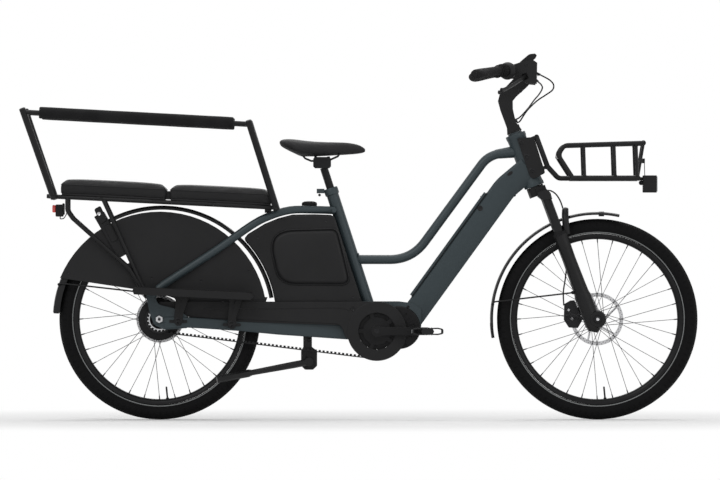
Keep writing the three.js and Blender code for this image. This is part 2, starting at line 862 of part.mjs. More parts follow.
function batterySolid(gap) {
  const { foot, knee } = downTubeRoute();
  const length = Math.hypot(knee[0] - foot[0], knee[1] - foot[1]);
  const way = [(knee[0] - foot[0]) / length, (knee[1] - foot[1]) / length];
  const at = (s, u) => shift(foot, way[0] * s - way[1] * u, way[1] * s + way[0] * u);
  const bar = (start, end, low, high, wide) => {
    const middle = (low + high) / 2;
    const ends = [lift(at(start, middle), 0), lift(at(end, middle), 0)];
    return tube(ends, oblong(wide, (high - low) / 2));
  };
  const end = batteryStart + batteryLength;
  const pack = bar(
    batteryStart + batteryCover - gap,
    end - batteryCover + gap,
    -batteryFloor - gap,
    downTubeTop + clearance + overrun,
    batteryHalf + gap,
  );
  const coverLow = downTubeTop + clearance - gap;
  const coverHigh = downTubeTop + batteryCover;
  return join(pack, bar(batteryStart - gap, end + gap, coverLow, coverHigh, batteryCoverHalf + gap));
}

const batteryPack = () => batterySolid(0);
const batteryPocket = () => batterySolid(clearance);

// A stack of rings with equal point counts, closed at both ends by fans
function loft(rings) {
  const count = rings[0].length;
  const points = rings.flat();
  const middle = (ring) => ring.reduce((sum, p) => p.map((v, k) => sum[k] + v / count), [0, 0, 0]);
  points.push(middle(rings[0]), middle(rings[rings.length - 1]));
  const index = [];
  for (let i = 0; i < count; i++) {
    const j = (i + 1) % count;
    const last = (rings.length - 1) * count;
    index.push(points.length - 2, j, i, points.length - 1, last + i, last + j);
    for (let k = 0; k + 1 < rings.length; k++) {
      const [low, high] = [k * count, (k + 1) * count];
      index.push(low + i, low + j, high + j, low + i, high + j, high + i);
    }
  }
  const geometry = new THREE.BufferGeometry();
  geometry.setAttribute("position", new THREE.Float32BufferAttribute(points.flat(), 3));
  geometry.setIndex(index);
  return toSolid(geometry);
}

// Compartment in the rear triangle, notched for the seat tube, the fender and the skirts
const boxLong = 360;
const boxLow = 106;
const boxFrontBack = 57;
const boxHalf = 52;
const boxShares = [[0, 0], [0.114, 0.87], [0.347, 1], [0.778, 1], [1, 0]];
const fenderShift = 8;
const fenderOuter = 380;
const fenderWall = 2.5;
const fenderLip = 14;
const fenderHalf = 42;
const fenderFront = 40;
const fenderRear = 177;
const facetRoom = 0.7;
const skirtInner = 44;
const skirtWall = 2.5;
const skirtOuter = 362;

const fenderAt = shift(rearAxleAt, fenderShift, 0);
const skirtOuterFace = skirtInner + skirtWall;

function frameBox() {
  const bottom = crankAt[1] + boxLow;
  const top = seatPoint(stayJoin)[1] - (stayTall * half + 2 * clearance);
  const left = crankAt[0] - boxFrontBack - boxLong;
  const outline = boxShares.map(([a, b]) => [left + a * boxLong, bottom + b * (top - bottom)]);
  const seat = rod(
    lift(seatPoint(0), 0),
    lift(seatPoint(seatTubeLength), 0),
    seatTubeRadius + clearance,
    fineSides,
  );
  const fenderRoom = fenderHalf + clearance;
  const skirtRoom = skirtOuterFace + clearance;
  return cut(
    slab(outline, -boxHalf, boxHalf),
    disc(fenderAt, fenderOuter + facetRoom, -fenderRoom, fenderRoom, 2 * wheelSides),
    disc(rearAxleAt, skirtOuter + facetRoom, -skirtRoom, skirtRoom, 2 * wheelSides),
    seat,
  );
}

// Cap on the box's top, hinged at its rear edge
const capAt = 463;
const capRadius = 20;
const capHeight = 15;
const capKnob = 9;
const capKnobHeight = 14;
const capHinge = 3;

const capFloor = () => seatPoint(stayJoin)[1] - stayTall * half - clearance;

function portCap() {
  const floor = capFloor();
  const at = (outline) => outline.map(([x, y]) => [x + capAt, y]);
  const lid = layer(at(circle(capRadius, fineSides)), floor, floor + capHeight);
  const knob = layer(at(circle(capKnob)), floor + capHeight - capHinge, floor + capHeight + capKnobHeight);
  const hinge = disc([capAt - capRadius, floor + capHinge], capHinge, -capKnob, capKnob, smallSides);
  return join(lid, knob, hinge);
}

// Belt guard: a plate from the rear dropout to a ring round the cranks
const guardInner = 62;
const guardWall = 3;
const guardHole = 62;
const guardRing = 100;
const guardBossRadius = 6;
const guardTailRise = 59;
const guardTurn = -163;
const guardNotch = 34;
const guardBossBack = 81;
const guardBossRise = 75;

function beltGuard() {
  const rear = shift(rearAxleAt, chainstayRear, -chainstayRise);
  const station = chainstayShares[1];
  const length = chainstayEnd - chainstayRear;
  const fall = crankAt[1] - chainstayDrop - rear[1];
  const seatX = rear[0] + station[0] * length;
  const seatZ = rear[1] + station[1] * fall + station[2] * chainstayDepth * half + clearance;
  const low = polar(crankAt, guardRing, guardTurn);
  const outline = [
    [0, rearAxleAt[1] + guardTailRise],
    ...arc(crankAt, guardRing, 90, guardTurn, fineSides),
    [low[0] - guardNotch, crankAt[1] + guardNotch * 0.8],
    [seatX, seatZ],
    [seatX - guardNotch * 0.7, seatZ + guardNotch * 0.8],
  ];
  const plate = cut(
    slab(outline, -guardInner - guardWall, -guardInner),
    disc(crankAt, guardHole, -guardInner - guardWall - overrun, overrun - guardInner, 2 * fineSides),
  );
  const bossAt = shift(crankAt, -guardBossBack, guardBossRise);
  return join(plate, disc(bossAt, guardBossRadius, -guardInner - guardWall, -bracketHalf - clearance));
}

// Rear rack: two rails falling a little forward, cross tubes, struts to the dropouts
const railSide = 85;
const railRadius = 7.25;
const railRearEnd = -378;
const railFrontEnd = 400;
const railFall = 0.05;
const railHeight = 732.7;
const crossRadius = 6;
const crossReach = 9.5;
const strutRadius = 7;
const strutFootSide = 61;
const clipRadius = 5;
const tabHalf = 7;
const tabLong = 22;

const railZ = (x) => railHeight - railFall * x;
const crossShares = [0.024, 0.235, 0.465, 0.72, 0.988];
const crossPlaces = crossShares.map((a) => railRearEnd + a * (railFrontEnd - railRearEnd));
const strutFoot = shift(rearAxleAt, -0.3 * dropoutLong, 0.66 * dropoutTall);
// Along the rack's rear half, to the side and in height above the foot
const rearStrutShares = [
  [1, 1, 1], [1, 1, 0.86], [0.93, 0.97, 0.78], [0.22, 0.35, 0.26], [0.09, 0, 0.075], [0, 0, 0],
];
const midStrutShares = [[1, 1, 1], [0.8, 0.87, 0.8], [0.12, 0, 0.09], [0, 0, 0]];
const rearStrutBack = 267;
const midStrutBack = 147;

function strutPlaces(shares, back) {
  const top = railZ(strutFoot[0] - back);
  return shares.map(([a, b, c]) => [
    strutFoot[0] - a * back,
    strutFootSide + b * (railSide - strutFootSide),
    strutFoot[1] + c * (top - strutFoot[1]),
  ]);
}

const stayWithGap = () =>
  tube(stayPlaces(), circle(stayWide / 2 + clearance, boltSides, stayTall / 2 + clearance));

function alongStrut(places, i, share) {
  return places[i].map((v, k) => v + (places[i + 1][k] - v) * share);
}

function rearRack() {
  const rail = rod(
    [railRearEnd, railSide, railZ(railRearEnd)],
    [railFrontEnd, railSide, railZ(railFrontEnd)],
    railRadius,
  );
  const rear = strutPlaces(rearStrutShares, rearStrutBack);
  const mid = strutPlaces(midStrutShares, midStrutBack);
  const clip = (p, inner) => disc([p[0], p[2]], clipRadius, inner, p[1], boltSides);
  const clips = [
    clip(alongStrut(rear, 2, half), skirtOuterFace + clearance),
    clip(alongStrut(mid, 1, lockEarShare), lockOuter + clearance),
  ];
  const tabPlace = stayPlaces()[5];
  const tab = block(
    [tabPlace[0] - tabLong / 2, tabPlace[0] + tabLong / 2],
    [tabPlace[1] - tabHalf, tabPlace[1] + tabHalf],
    [tabPlace[2], railZ(tabPlace[0])],
  );
  const bridge = rod(
    [tabPlace[0], 0, railZ(tabPlace[0])],
    [tabPlace[0], railSide, railZ(tabPlace[0])],
    crossRadius,
    boltSides,
  );
  const struts = [rear, mid].map((places) => tube(places, circle(strutRadius, boltSides)));
  const side = cut(join(rail, struts, clips, tab, bridge), stayWithGap(), dropoutWithGap());
  const cross = crossPlaces.map((x) => rod(
    [x, -railSide - crossReach, railZ(x)],
    [x, railSide + crossReach, railZ(x)],
    crossRadius,
    boltSides,
  ));
  return join(bothSides(side), cross);
}

function dropoutWithGap() {
  const outline = dropoutShares.map(([a, b]) => shift(rearAxleAt, a * dropoutLong, b * dropoutTall));
  return slab(outline, dropoutInner - clearance, dropoutOuter + clearance);
}

// Seat pads: a flat base, sides drawn in between the corners, a crowned top
const padWide = 200;
const padThick = 46;
const padCorner = 22;
const padDraw = 5;
const padCrown = 6;
const rearPadStart = -333;
const rearPadLong = 358;
const frontPadStart = 33;
const frontPadLong = 346;
const padCornerSteps = 2;
const padSideSteps = 4;
// Inset from the widest outline and height
const padSideShares = [
  [0.3, 0], [0.06, 0.1], [0, 0.3], [0.05, 0.5], [0.02, 0.72], [0.14, 0.9], [0.42, 1],
];
const padTopShares = [0.78, 0.5, 0.24];

function padRing(long, wide, corner) {
  const ring = [];
  const corners = [[1, -1, -90], [1, 1, 0], [-1, 1, 90], [-1, -1, 180]];
  const arcs = corners.map(([a, b, turn]) =>
    arc([a * (long / 2 - corner), b * (wide / 2 - corner)], corner, turn, turn + 90, padCornerSteps));
  arcs.forEach((points, i) => {
    ring.push(...points);
    const from = points[points.length - 1];
    const to = arcs[(i + 1) % arcs.length][0];
    for (let k = 1; k < padSideSteps; k++) {
      const share = k / padSideSteps;
      const pull = padDraw * Math.sin(Math.PI * share);
      const [x, y] = between(from, to, share);
      const outward = i % 2 ? [Math.sign(x), 0] : [0, Math.sign(y)];
      ring.push([x - (i % 2 ? outward[0] * pull : 0), y - (i % 2 ? 0 : outward[1] * pull)]);
    }
  });
  return ring;
}

function seatPad(start, long) {
  const middle = start + long / 2;
  const base = (x) => railZ(x) + flatOf(railRadius) + clearance;
  const place = (ring, height, crown) => ring.map(([x, y]) => {
    const bulge = crown * (1 - (2 * x / long) ** 2) * (1 - (2 * y / padWide) ** 2);
    return [middle + x, y, base(middle + x) + height + bulge];
  });
  const rings = padSideShares.map(([inset, height]) => {
    const drawn = inset * padCorner;
    const ring = padRing(long - 2 * drawn, padWide - 2 * drawn, padCorner - drawn * half);
    return place(ring, height * padThick, 0);
  });
  const edge = padSideShares[padSideShares.length - 1][0] * padCorner;
  const topRing = padRing(long - 2 * edge, padWide - 2 * edge, padCorner - edge * half);
  for (const share of padTopShares) {
    rings.push(place(topRing.map(([x, y]) => [x * share, y * share]), padThick, padCrown));
  }
  return loft(rings);
}

// Handrail: four legs beside the rack, side bars with foam and a bar across each end
const footSide = 105;
const topSide = 170;
const legRadius = 11;
const sideBarRadius = 7.5;
const endBarRadius = 9;
const rearFoot = -356;
const frontFoot = 392;
const legBelow = 14;
const footStraight = 34;
const rearTopBack = 101;
const rearTopRise = 292;
const frontTopBack = 91;
const frontTopRise = 289;
const sideBarBelow = 9;
const foamRadius = 20;
const foamStartShare = 0.07;
const foamEndShare = 0.93;

function legPlaces(foot, back, rise) {
  const z = railZ(foot);
  return [
    [foot, footSide, z - legBelow],
    [foot - back * 0.06, footSide, z + footStraight],
    [foot - back, topSide, z + rise],
  ];
}

function sideBarPlaces() {
  const rear = legPlaces(rearFoot, rearTopBack, rearTopRise)[2];
  const front = legPlaces(frontFoot, frontTopBack, frontTopRise)[2];
  return [rear, front].map(([x, y, z]) => [x, y, z - sideBarBelow]);
}

function handrail() {
  const legs = [
    legPlaces(rearFoot, rearTopBack, rearTopRise),
    legPlaces(frontFoot, frontTopBack, frontTopRise),
  ].map((places) => tube(bend(places, footStraight, 1), circle(legRadius, smallSides)));
  const [rear, front] = sideBarPlaces();
  const bars = [rear, front].map(([x, y, z]) => rod([x, 0, z], [x, y, z], endBarRadius));
  return bothSides(join(legs, rod(rear, front, sideBarRadius), bars));
}

function foamSleeve() {
  const [rear, front] = sideBarPlaces();
  const at = (share) => rear.map((v, k) => v + (front[k] - v) * share);
  const sleeve = rod(at(foamStartShare), at(foamEndShare), foamRadius, roundSides);
  return cut(sleeve, rod(rear, front, sideBarRadius + clearance));
}

// Footrests: a board on two brackets bolted to the chainstay
const boardStart = -83;
const boardEnd = 318;
const boardInner = 84;
const boardOuter = 175;
const boardTop = 446;
const boardFall = 19;
const boardThick = 24;
const bracketPlateInner = 81.3;
const bracketPlateOuter = 89;
const bracketBoltRadius = 8;
const bracketBoltDrop = 108;
// Along the board, the bolt in the chainstay and the middle of the bracket's upper end
const bracketShares = [[0.369, 0.436], [0.813, 0.885]];

function footrest() {
  const long = boardEnd - boardStart;
  const top = (x) => boardTop - (boardFall * (x - boardStart)) / long;
  const nose = boardThick * half;
  const outline = [
    [boardStart, top(boardStart)],
    [boardEnd - nose, top(boardEnd - nose)],
    [boardEnd, top(boardEnd) - nose],
    [boardEnd - nose, top(boardEnd) - boardThick],
    [boardStart, top(boardStart) - boardThick],
    [boardStart - nose * half, top(boardStart) - nose],
  ];
  const legs = bracketShares.map(([a, b]) => {
    const r = bracketBoltRadius;
    const [x, upper] = [boardStart + a * long, boardStart + b * long];
    const z = top(x) - bracketBoltDrop;
    const deep = top(upper) - boardThick * half;
    const shape = [[x - r, z], [x, z - r], [x + r, z], [upper + 1.4 * r, deep], [upper - 1.4 * r, deep]];
    const plate = slab(shape, bracketPlateInner, bracketPlateOuter);
    const reach = stayOutside(x - r) + clearance;
    return join(plate, disc([x, z], r * 0.8, reach, bracketPlateOuter, smallSides));
  });
  return join(slab(outline, boardInner, boardOuter), legs);
}

// The chainstay's outer face at a place along the bicycle
function stayOutside(x) {
  const length = chainstayEnd - chainstayRear;
  const share = (x - chainstayRear) / length;
  const next = chainstayShares.findIndex(([a]) => a > share);
  const [a, b] = [chainstayShares[next - 1], chainstayShares[next]];
  const part = (share - a[0]) / (b[0] - a[0]);
  const lean = Math.atan2((a[3] - b[3]) * stayMiddle, (b[0] - a[0]) * length);
  return (a[3] + (b[3] - a[3]) * part) * stayMiddle + chainstayHalf / Math.cos(lean);
}

// A flat of a many-sided round, nearer to its axis than its corners
const flatOf = (radius, sides = smallSides) => radius * Math.cos(Math.PI / sides);

// Rear fender: a channel over the wheel with a tab under the rack
const fenderSteps = 20;
const fenderTabHalf = 8;

function fenderShell(place, outer, wall, lip, wide, from, to, steps) {
  const top = slab(band(place, outer - wall, outer, from, to, steps), -wide, wide);
  const edge = slab(band(place, outer - lip, outer, from, to, steps), wide - wall, wide);
  return join(top, edge, mirrored(edge));
}

function rearFender() {
  const shell = fenderShell(
    fenderAt, fenderOuter, fenderWall, fenderLip, fenderHalf, fenderFront, fenderRear, fenderSteps,
  );
  const x = crossPlaces[2];
  const top = railZ(x) - flatOf(crossRadius, boltSides) - clearance;
  const bottom = fenderAt[1] + fenderOuter - 2 * fenderWall;
  const tab = block([x - fenderTabHalf, x + fenderTabHalf], [-fenderTabHalf, fenderTabHalf], [bottom, top]);
  return join(shell, tab);
}

// Skirts: panels beside the wheel, slotted for the ring lock
const skirtFront = 10.5;
const skirtRear = 157.5;
const skirtLowShares = [[-0.182, 0.271], [0, 0.24], [0.193, 0.177]];
const lockTurn = 120;
const lockWide = 18;
const lockSlot = 16;
const lockSlotLow = 215;
const lockLow = 246;
const lockHigh = 408;
const lockInner = 47.8;
const lockWall = 7.2;
const lockBridge = 368;
const lockBoltCentre = 306;
const lockBoltRing = 44;
const lockBoltRadius = 3.5;
const lockBoltFrom = -2;
const lockBoltTo = 172;
const lockBoltSteps = 12;
const lockEarShare = 0.34;
const lockOuter = lockInner + lockWall;

function skirt() {
  const outline = [
    ...arc(rearAxleAt, skirtOuter, skirtFront, skirtRear, wheelSides),
    ...skirtLowShares.map(([a, b]) => shift(rearAxleAt, a * skirtOuter, b * skirtOuter)),
  ];
  const panel = slab(outline, skirtInner, skirtOuterFace);
  const slot = alongLock(lockSlotLow, skirtOuter + overrun, lockSlot);
  return cut(panel, slab(slot, skirtInner - overrun, skirtOuterFace + overrun));
}

// Four corners of a bar that points away from the rear axle at the lock's angle
function alongLock(near, far, wide) {
  const corner = (r, w) => polar(polar(rearAxleAt, r, lockTurn), w, lockTurn + 90);
  return [corner(near, -wide), corner(far, -wide), corner(far, wide), corner(near, wide)];
}

function ringLock() {
  const arm = slab(alongLock(lockLow, lockHigh, lockWide), lockInner, lockOuter);
  const bridge = cut(
    slab(alongLock(lockBridge, lockHigh, lockWide), -lockOuter, lockOuter),
    disc(fenderAt, fenderOuter + facetRoom, -lockInner, lockInner, 2 * wheelSides),
  );
  const mid = strutPlaces(midStrutShares, midStrutBack);
  const [x, , z] = alongStrut(mid, 1, lockEarShare);
  const ear = slab(
    [
      [x - lockWide, z + lockWide * 0.6],
      [x + clipRadius, z + clipRadius * 1.5],
      [x + clipRadius * 1.6, z - clipRadius],
      [x - lockWide, z - lockWide * 0.7],
    ],
    lockInner,
    lockOuter,
  );
  return join(bothSides(join(arm, ear)), bridge);
}

// A bar bent round the tyre, from beside the wheel on the right to beside it on the left
function lockBolt() {
  const turn = radians(lockTurn);
  const points = [];
  for (let i = 0; i <= lockBoltSteps; i++) {
    const angle = radians(lockBoltFrom + ((lockBoltTo - lockBoltFrom) * i) / lockBoltSteps);
    const up = lockBoltCentre + lockBoltRing * Math.sin(angle);
    points.push(lift(polar(rearAxleAt, up, lockTurn), -lockBoltRing * Math.cos(angle)));
  }
  return tube(points, circle(lockBoltRadius, boltSides), [-Math.sin(turn), 0, Math.cos(turn)]);
}

// Rear light under the rack's last cross tube
const lightBack = -361;
const lightLong = 42;
const lightLow = 681;
const lightHigh = 728;
const lightHalf = 34;
const lightNeckHalf = 11;
const lightNeckLong = 10;

function rearLight() {
  const x = crossPlaces[0];
  const outline = [
    [lightBack, lightLow + overrun],
    [lightBack + overrun, lightLow],
    [lightBack + lightLong * 0.7, lightLow],
    [lightBack + lightLong, lightHigh - lightLong * 0.4],
    [lightBack + lightLong, lightHigh],
    [lightBack, lightHigh],
  ];
  const neckTop = railZ(x) - flatOf(crossRadius, boltSides) - clearance;
  const neck = block(
    [x - lightNeckLong / 2, x + lightNeckLong / 2],
    [-lightNeckHalf, lightNeckHalf],
    [lightHigh - overrun, neckTop],
  );
  return join(slab(outline, -lightHalf, lightHalf), neck);
}

// Rear axle with its nuts, and the rear brake caliper on the left dropout
const axleEnd = 8;
const nutRadius = 13;
const nutThick = 5.7;

function rearAxle() {
  const nut = disc(
    rearAxleAt,
    nutRadius,
    dropoutOuter + clearance,
    dropoutOuter + clearance + nutThick,
    boltSides,
  );
  return join(disc(rearAxleAt, axleRadius, -dropoutOuter - axleEnd, dropoutOuter + axleEnd), bothSides(nut));
}

const caliperTurn = 24;
const caliperLong = 44;
const caliperTall = 30;
const caliperIn = 51;
const caliperOut = 64.5;
const caliperGap = 0.5;
const caliperBossRadius = 5;
const caliperShares = [[-1, -0.7], [0.6, -1], [1, -0.5], [1, 0.5], [0.6, 1], [-1, 0.7]];

function rearCaliper() {
  const centre = polar(rearAxleAt, rearDiscRadius - discRing * half, caliperTurn);
  const outline = caliperShares.map(([a, b]) =>
    polar(polar(centre, a * caliperTall * half, caliperTurn), b * caliperLong * half, caliperTurn + 90));
  const body = cut(
    slab(outline, caliperIn, caliperOut),
    disc(
      rearAxleAt,
      rearDiscRadius + caliperGap,
      rearDiscAt - caliperGap,
      rearDiscAt + discThickness + caliperGap,
      2 * wheelSides,
    ),
  );
  const bossAt = shift(rearAxleAt, dropoutLong * 0.42, dropoutTall * 0.17);
  const boss = disc(
    bossAt,
    caliperBossRadius,
    caliperOut - overrun * half,
    dropoutInner - clearance,
    smallSides,
  );
  return join(body, boss);
}

// Kickstand: a bracket under the bridge between the chainstays, and two legs on one pivot
const standTopWide = 29;
const standBodyWide = 54;
const standPivotForward = 5;
const standPivotDrop = 104;
const standBodyTall = 64;
const standBodyBelow = 26;
const standHalf = 28;
const standPivot = 8;
const standLegSide = 47;
const standLegRadius = 11;
const standLegLong = 314;
const standLegFall = 10.6;
const standLegSplay = 130;
const standLegShares = [[0, 1], [0.18, 1], [0.62, 0.78], [0.66, 1.1], [1, 1.1]];
const standStraightShare = 0.05;

const pivotAt = [standAt + standPivotForward, crankAt[1] - standPivotDrop];
const bridgeLow = crankAt[1] - chainstayDrop - chainstayDepth * half + 2 * chainstayHalf;

function kickstandBracket() {
  const top = bridgeLow - clearance;
  const low = pivotAt[1] - standBodyBelow;
  const high = low + standBodyTall;
  const outline = [
    [standAt - standTopWide / 2, top],
    [standAt + standTopWide / 2, top],
    [standAt + standTopWide / 2, high + overrun * 2],
    [pivotAt[0] + standBodyWide / 2, high],
    [pivotAt[0] + standBodyWide / 2, low + standBodyBelow * half],
    [pivotAt[0] + standBodyWide / 4, low],
    [pivotAt[0] - standBodyWide / 4, low],
    [pivotAt[0] - standBodyWide / 2, low + standBodyBelow * half],
    [pivotAt[0] - standBodyWide / 2, high],
    [standAt - standTopWide / 2, high + overrun * 2],
  ];
  const bore = disc(pivotAt, standPivot + turnGap, -standHalf - overrun, standHalf + overrun);
  return cut(slab(outline, -standHalf, standHalf), bore);
}

function kickstandLegs() {
  const at = (share, side) => lift(polar(pivotAt, share * standLegLong, 180 + standLegFall), side);
  const spread = (share) => standLegSide + share * (standLegSplay - standLegSide);
  const places = standLegShares.map(([share]) => at(share, spread(Math.max(share - standStraightShare, 0))));
  const thick = standLegShares.map(([, share]) => [share, share]);
  const leg = tube(places, circle(standLegRadius, boltSides), across, thick);
  const knuckle = disc(pivotAt, standLegRadius * 1.4, standHalf + clearance, standLegSide + standLegRadius);
  const pin = disc(pivotAt, standPivot, -standLegSide, standLegSide);
  return join(bothSides(join(leg, knuckle)), pin);
}

// Seatpost, saddle rails and saddle
const postTop = 578;
const postInside = 180;
const headLong = 60;
const headTall = 38;
const headWide = 27;
const postHeadAt = 596;
const saddleRailRadius = 3.5;
const saddleRailSide = 21;
const saddleLong = 288;
const saddleWide = 158;
const saddleTall = 60;
const saddleBack = 143;
const saddleRise = 20;
const saddleSides = 12;
// Along the saddle, half its width, and its top and bottom above the rails' level
const saddleShares = [
  [0, 0.22, 0.86, 0.72], [0.02, 0.33, 0.95, 0.56], [0.07, 0.43, 1, 0.42], [0.15, 0.49, 1, 0.22],
  [0.25, 0.48, 0.94, 0], [0.4, 0.39, 0.86, 0],
  [0.54, 0.28, 0.83, 0.03], [0.68, 0.19, 0.82, 0.07], [0.82, 0.14, 0.79, 0.11],
  [0.93, 0.11, 0.67, 0.16], [0.98, 0.08, 0.52, 0.22], [1, 0.04, 0.43, 0.28],
];
const saddleRailShares = [[0.26, 0.12], [0.3, -0.1], [0.37, -0.24], [0.58, -0.2], [0.68, 0.02], [0.7, 0.16]];

const postHead = () => seatPoint(postHeadAt, 0);

function saddleRail(radius) {
  const [x, z] = postHead();
  const places = saddleRailShares.map(([a, b]) =>
    [x - saddleBack + a * saddleLong, saddleRailSide, z + saddleRise + b * saddleTall]);
  return tube(places, circle(radius, smallSides));
}

function saddleRails() {
  const [x, z] = postHead();
  const share = saddleRailShares[2];
  const tie = rod(
    [x - saddleBack + share[0] * saddleLong, -saddleRailSide, z + saddleRise + share[1] * saddleTall],
    [x - saddleBack + share[0] * saddleLong, saddleRailSide, z + saddleRise + share[1] * saddleTall],
    saddleRailRadius * 0.8,
  );
  return join(bothSides(saddleRail(saddleRailRadius)), tie);
}

function seatpost() {
  const [x, z] = postHead();
  const post = rod(
    lift(seatPoint(seatTubeLength - postInside), 0),
    lift(seatPoint(postTop), 0),
    postRadius,
    fineSides,
  );
  const head = slab(
    chamfered(headLong / 2, headTall / 2, overrun).map(([a, b]) => [x + a, z + b]),
    -headWide,
    headWide,
  );
  const share = saddleRailShares[2];
  const tieAt = [x - saddleBack + share[0] * saddleLong, z + saddleRise + share[1] * saddleTall];
  const room = saddleRailRadius + clearance;
  const tieRoom = disc(tieAt, room, -headWide - overrun, headWide + overrun, smallSides);
  return cut(join(post, head), bothSides(saddleRail(room)), tieRoom);
}

function saddle() {
  const [x, z] = postHead();
  const rings = saddleShares.map(([along, wide, top, bottom]) => {
    const ring = [];
    for (let i = 0; i < saddleSides; i++) {
      const angle = (2 * Math.PI * i) / saddleSides;
      const round = (v, power) => Math.sign(v) * Math.abs(v) ** power;
      const middle = ((top + bottom) / 2) * saddleTall;
      const tall = ((top - bottom) / 2) * saddleTall;
      ring.push([
        x - saddleBack + along * saddleLong,
        wide * saddleWide * round(Math.cos(angle), 0.85),
        z + saddleRise + middle + tall * round(Math.sin(angle), 0.8),
      ]);
    }
    return ring;
  });
  return cut(loft(rings), bothSides(saddleRail(saddleRailRadius + clearance)));
}

// Front rack on the head: side plates, uprights, a base and a raised rail
const rackPlateWall = 3;
const rackPlateBack = 4;
const rackPlateWide = 59;
const rackPlateShares = [[0.07, 0.92], [1, 0.835], [0.9, 0.16], [0.17, 0.13], [0, 0.19]];
const rackUpright = 6.5;
const rackUprightW = 64;
const rackTopShare = 0.82;
const rackGussetShare = 0.255;
const rackKneeBack = 46;
const rackUprightBend = 30;
const rackKneeBend = 24;
const rackBaseZ = 812;
const rackBaseRadius = 8;
const rackBack = 1388;
const rackFront = 1607;
const rackWide = 150;
const rackRailRadius = 6;
const rackTall = 118;
const rackWireRadius = 4;
const rackWireSides = 4;
const rackRearBarShare = 0.61;
// Along the base and in height, the rail's path, and the feet and heads of its side posts
const rackRailShares = [[0, 0], [-0.228, 0.66], [-0.128, 0.932], [1.09, 1]];
const rackPostShares = [[0.182, 0.164], [0.648, 0.63], [0.986, 0.968]];
const rackFrontPostShares = [0.33, 0.8];

const rackAt = (a, b, y) => lift([rackBack + a * (rackFront - rackBack), rackBaseZ + b * rackTall], y);

function rackHalf() {
  const side = rackPlateAt + rackPlateWall / 2;
  const outline = rackPlateShares.map(([a, b]) => [a * rackPlateWide - rackPlateBack, upHead(b)]);
  const plate = onHead(slab(outline, rackPlateAt, rackPlateAt + rackPlateWall));
  const tie = (share) => {
    const ends = [outline[2][0] - overrun, rackUprightW].map((w) => [w, side, upHead(share)]);
    return onHead(rod(...ends, rackPlateWall, rackWireSides));
  };
  const top = steerPoint(upHead(rackTopShare), rackUprightW);
  const low = steerPoint(upHead(rackGussetShare), rackUprightW);
  const knee = [rackBack - rackKneeBack, rackBaseZ];
  const corners = [top, low, knee, [rackFront, rackBaseZ]].map((p) => lift(p, side));
  const upright = tube(bend(corners, [rackUprightBend, rackKneeBend], 1), circle(rackUpright, boltSides));
  const base = rod(rackAt(0, 0, rackWide), rackAt(1, 0, rackWide), rackBaseRadius, boltSides);
  const railPath = rackRailShares.map(([a, b]) => rackAt(a, b, rackWide));
  const wire = (from, to) => rod(from, to, rackWireRadius, rackWireSides);
  const posts = rackPostShares.map(([foot, head]) =>
    wire(rackAt(foot, 0, rackWide), rackAt(head, 0.98, rackWide)));
  const lean = rackRailShares[rackRailShares.length - 1];
  const frontPosts = rackFrontPostShares.map((share) =>
    wire(rackAt(1, 0, share * rackWide), rackAt(...lean, share * rackWide)));
  const rail = tube(railPath, circle(rackRailRadius, boltSides));
  return join(plate, tie(rackTopShare), tie(rackGussetShare), upright, base, rail, posts, frontPosts);
}

function frontRack() {
  const side = rackPlateAt + rackPlateWall / 2;
  const knee = rackRailShares[1];
  const crossShares = [
    [0, 0, rackUpright],
    [half, 0, rackUpright],
    [1, 0, rackUpright],
    [...rackRailShares[rackRailShares.length - 1], rackRailRadius],
    [(knee[0] * rackRearBarShare) / knee[1], rackRearBarShare, rackRailRadius],
  ];
  const cross = crossShares.map(([a, b, radius]) =>
    rod(rackAt(a, b, -rackWide), rackAt(a, b, rackWide), radius, boltSides));
  const top = steerPoint(upHead(rackTopShare), rackUprightW);
  return join(bothSides(rackHalf()), cross, rod(lift(top, -side), lift(top, side), rackUpright, boltSides));
}

// Headlight hung from the rack's front cross tube
const headlightLong = 52;
const headlightTall = 58;
const headlightHalf = 32;
const headlightDrop = 48;
const headlightMount = 12;

function headlight() {
  const near = rackFront + rackUpright + clearance;
  const left = near + headlightMount;
  const low = rackBaseZ - headlightDrop;
  const outline = chamfered(headlightLong / 2, headlightTall / 2, overrun)
    .map(([a, b]) => [left + headlightLong / 2 + a, low + headlightTall / 2 + b]);
  const mount = block(
    [near, left + overrun],
    [-headlightHalf * half, headlightHalf * half],
    [rackBaseZ - 2 * overrun, rackBaseZ + overrun],
  );
  return join(slab(outline, -headlightHalf, headlightHalf), mount);
}

// Steering pieces stand in their own frame: x forward and z up along the steering axis, zero at its foot
const axlePlace = [forkRake, 0];
const stanchionRadius = 16;
const stanchionW = 22;
const stanchionSide = 62;
const stanchionLow = 250;
const stanchionHigh = 462;
const stanchionGap = 0.4;
const crownLow = 432;
const crownTall = 38;
const crownReach = 24;
const crownHalf = 80;
const crownCore = 30;
const crownShares = [[-1, 0.63], [-0.83, 1], [0.5, 1], [0.83, 0.58], [0.75, 0], [-0.67, 0.26]];
const steererTop = 762;

function forkCrown() {
  const top = headLow - clearance;
  const outline = crownShares.map(([a, b]) => [stanchionW + a * crownReach, crownLow + b * crownTall]);
  const arms = slab(outline, -crownHalf, crownHalf);
  const core = layer(circle(crownCore, fineSides), crownLow + crownTall * 0.7, top);
  const web = block(
    [0, stanchionW + crownReach * half],
    [-crownCore * 1.4, crownCore * 1.4],
    [crownLow + crownTall - overrun, top - overrun],
  );
  const leg = rod(
    [stanchionW, stanchionSide, stanchionLow],
    [stanchionW, stanchionSide, stanchionHigh],
    stanchionRadius,
    roundSides,
  );
  const steerer = layer(circle(steererRadius, fineSides), top - overrun, steererTop);
  return join(arms, core, web, steerer, bothSides(leg));
}

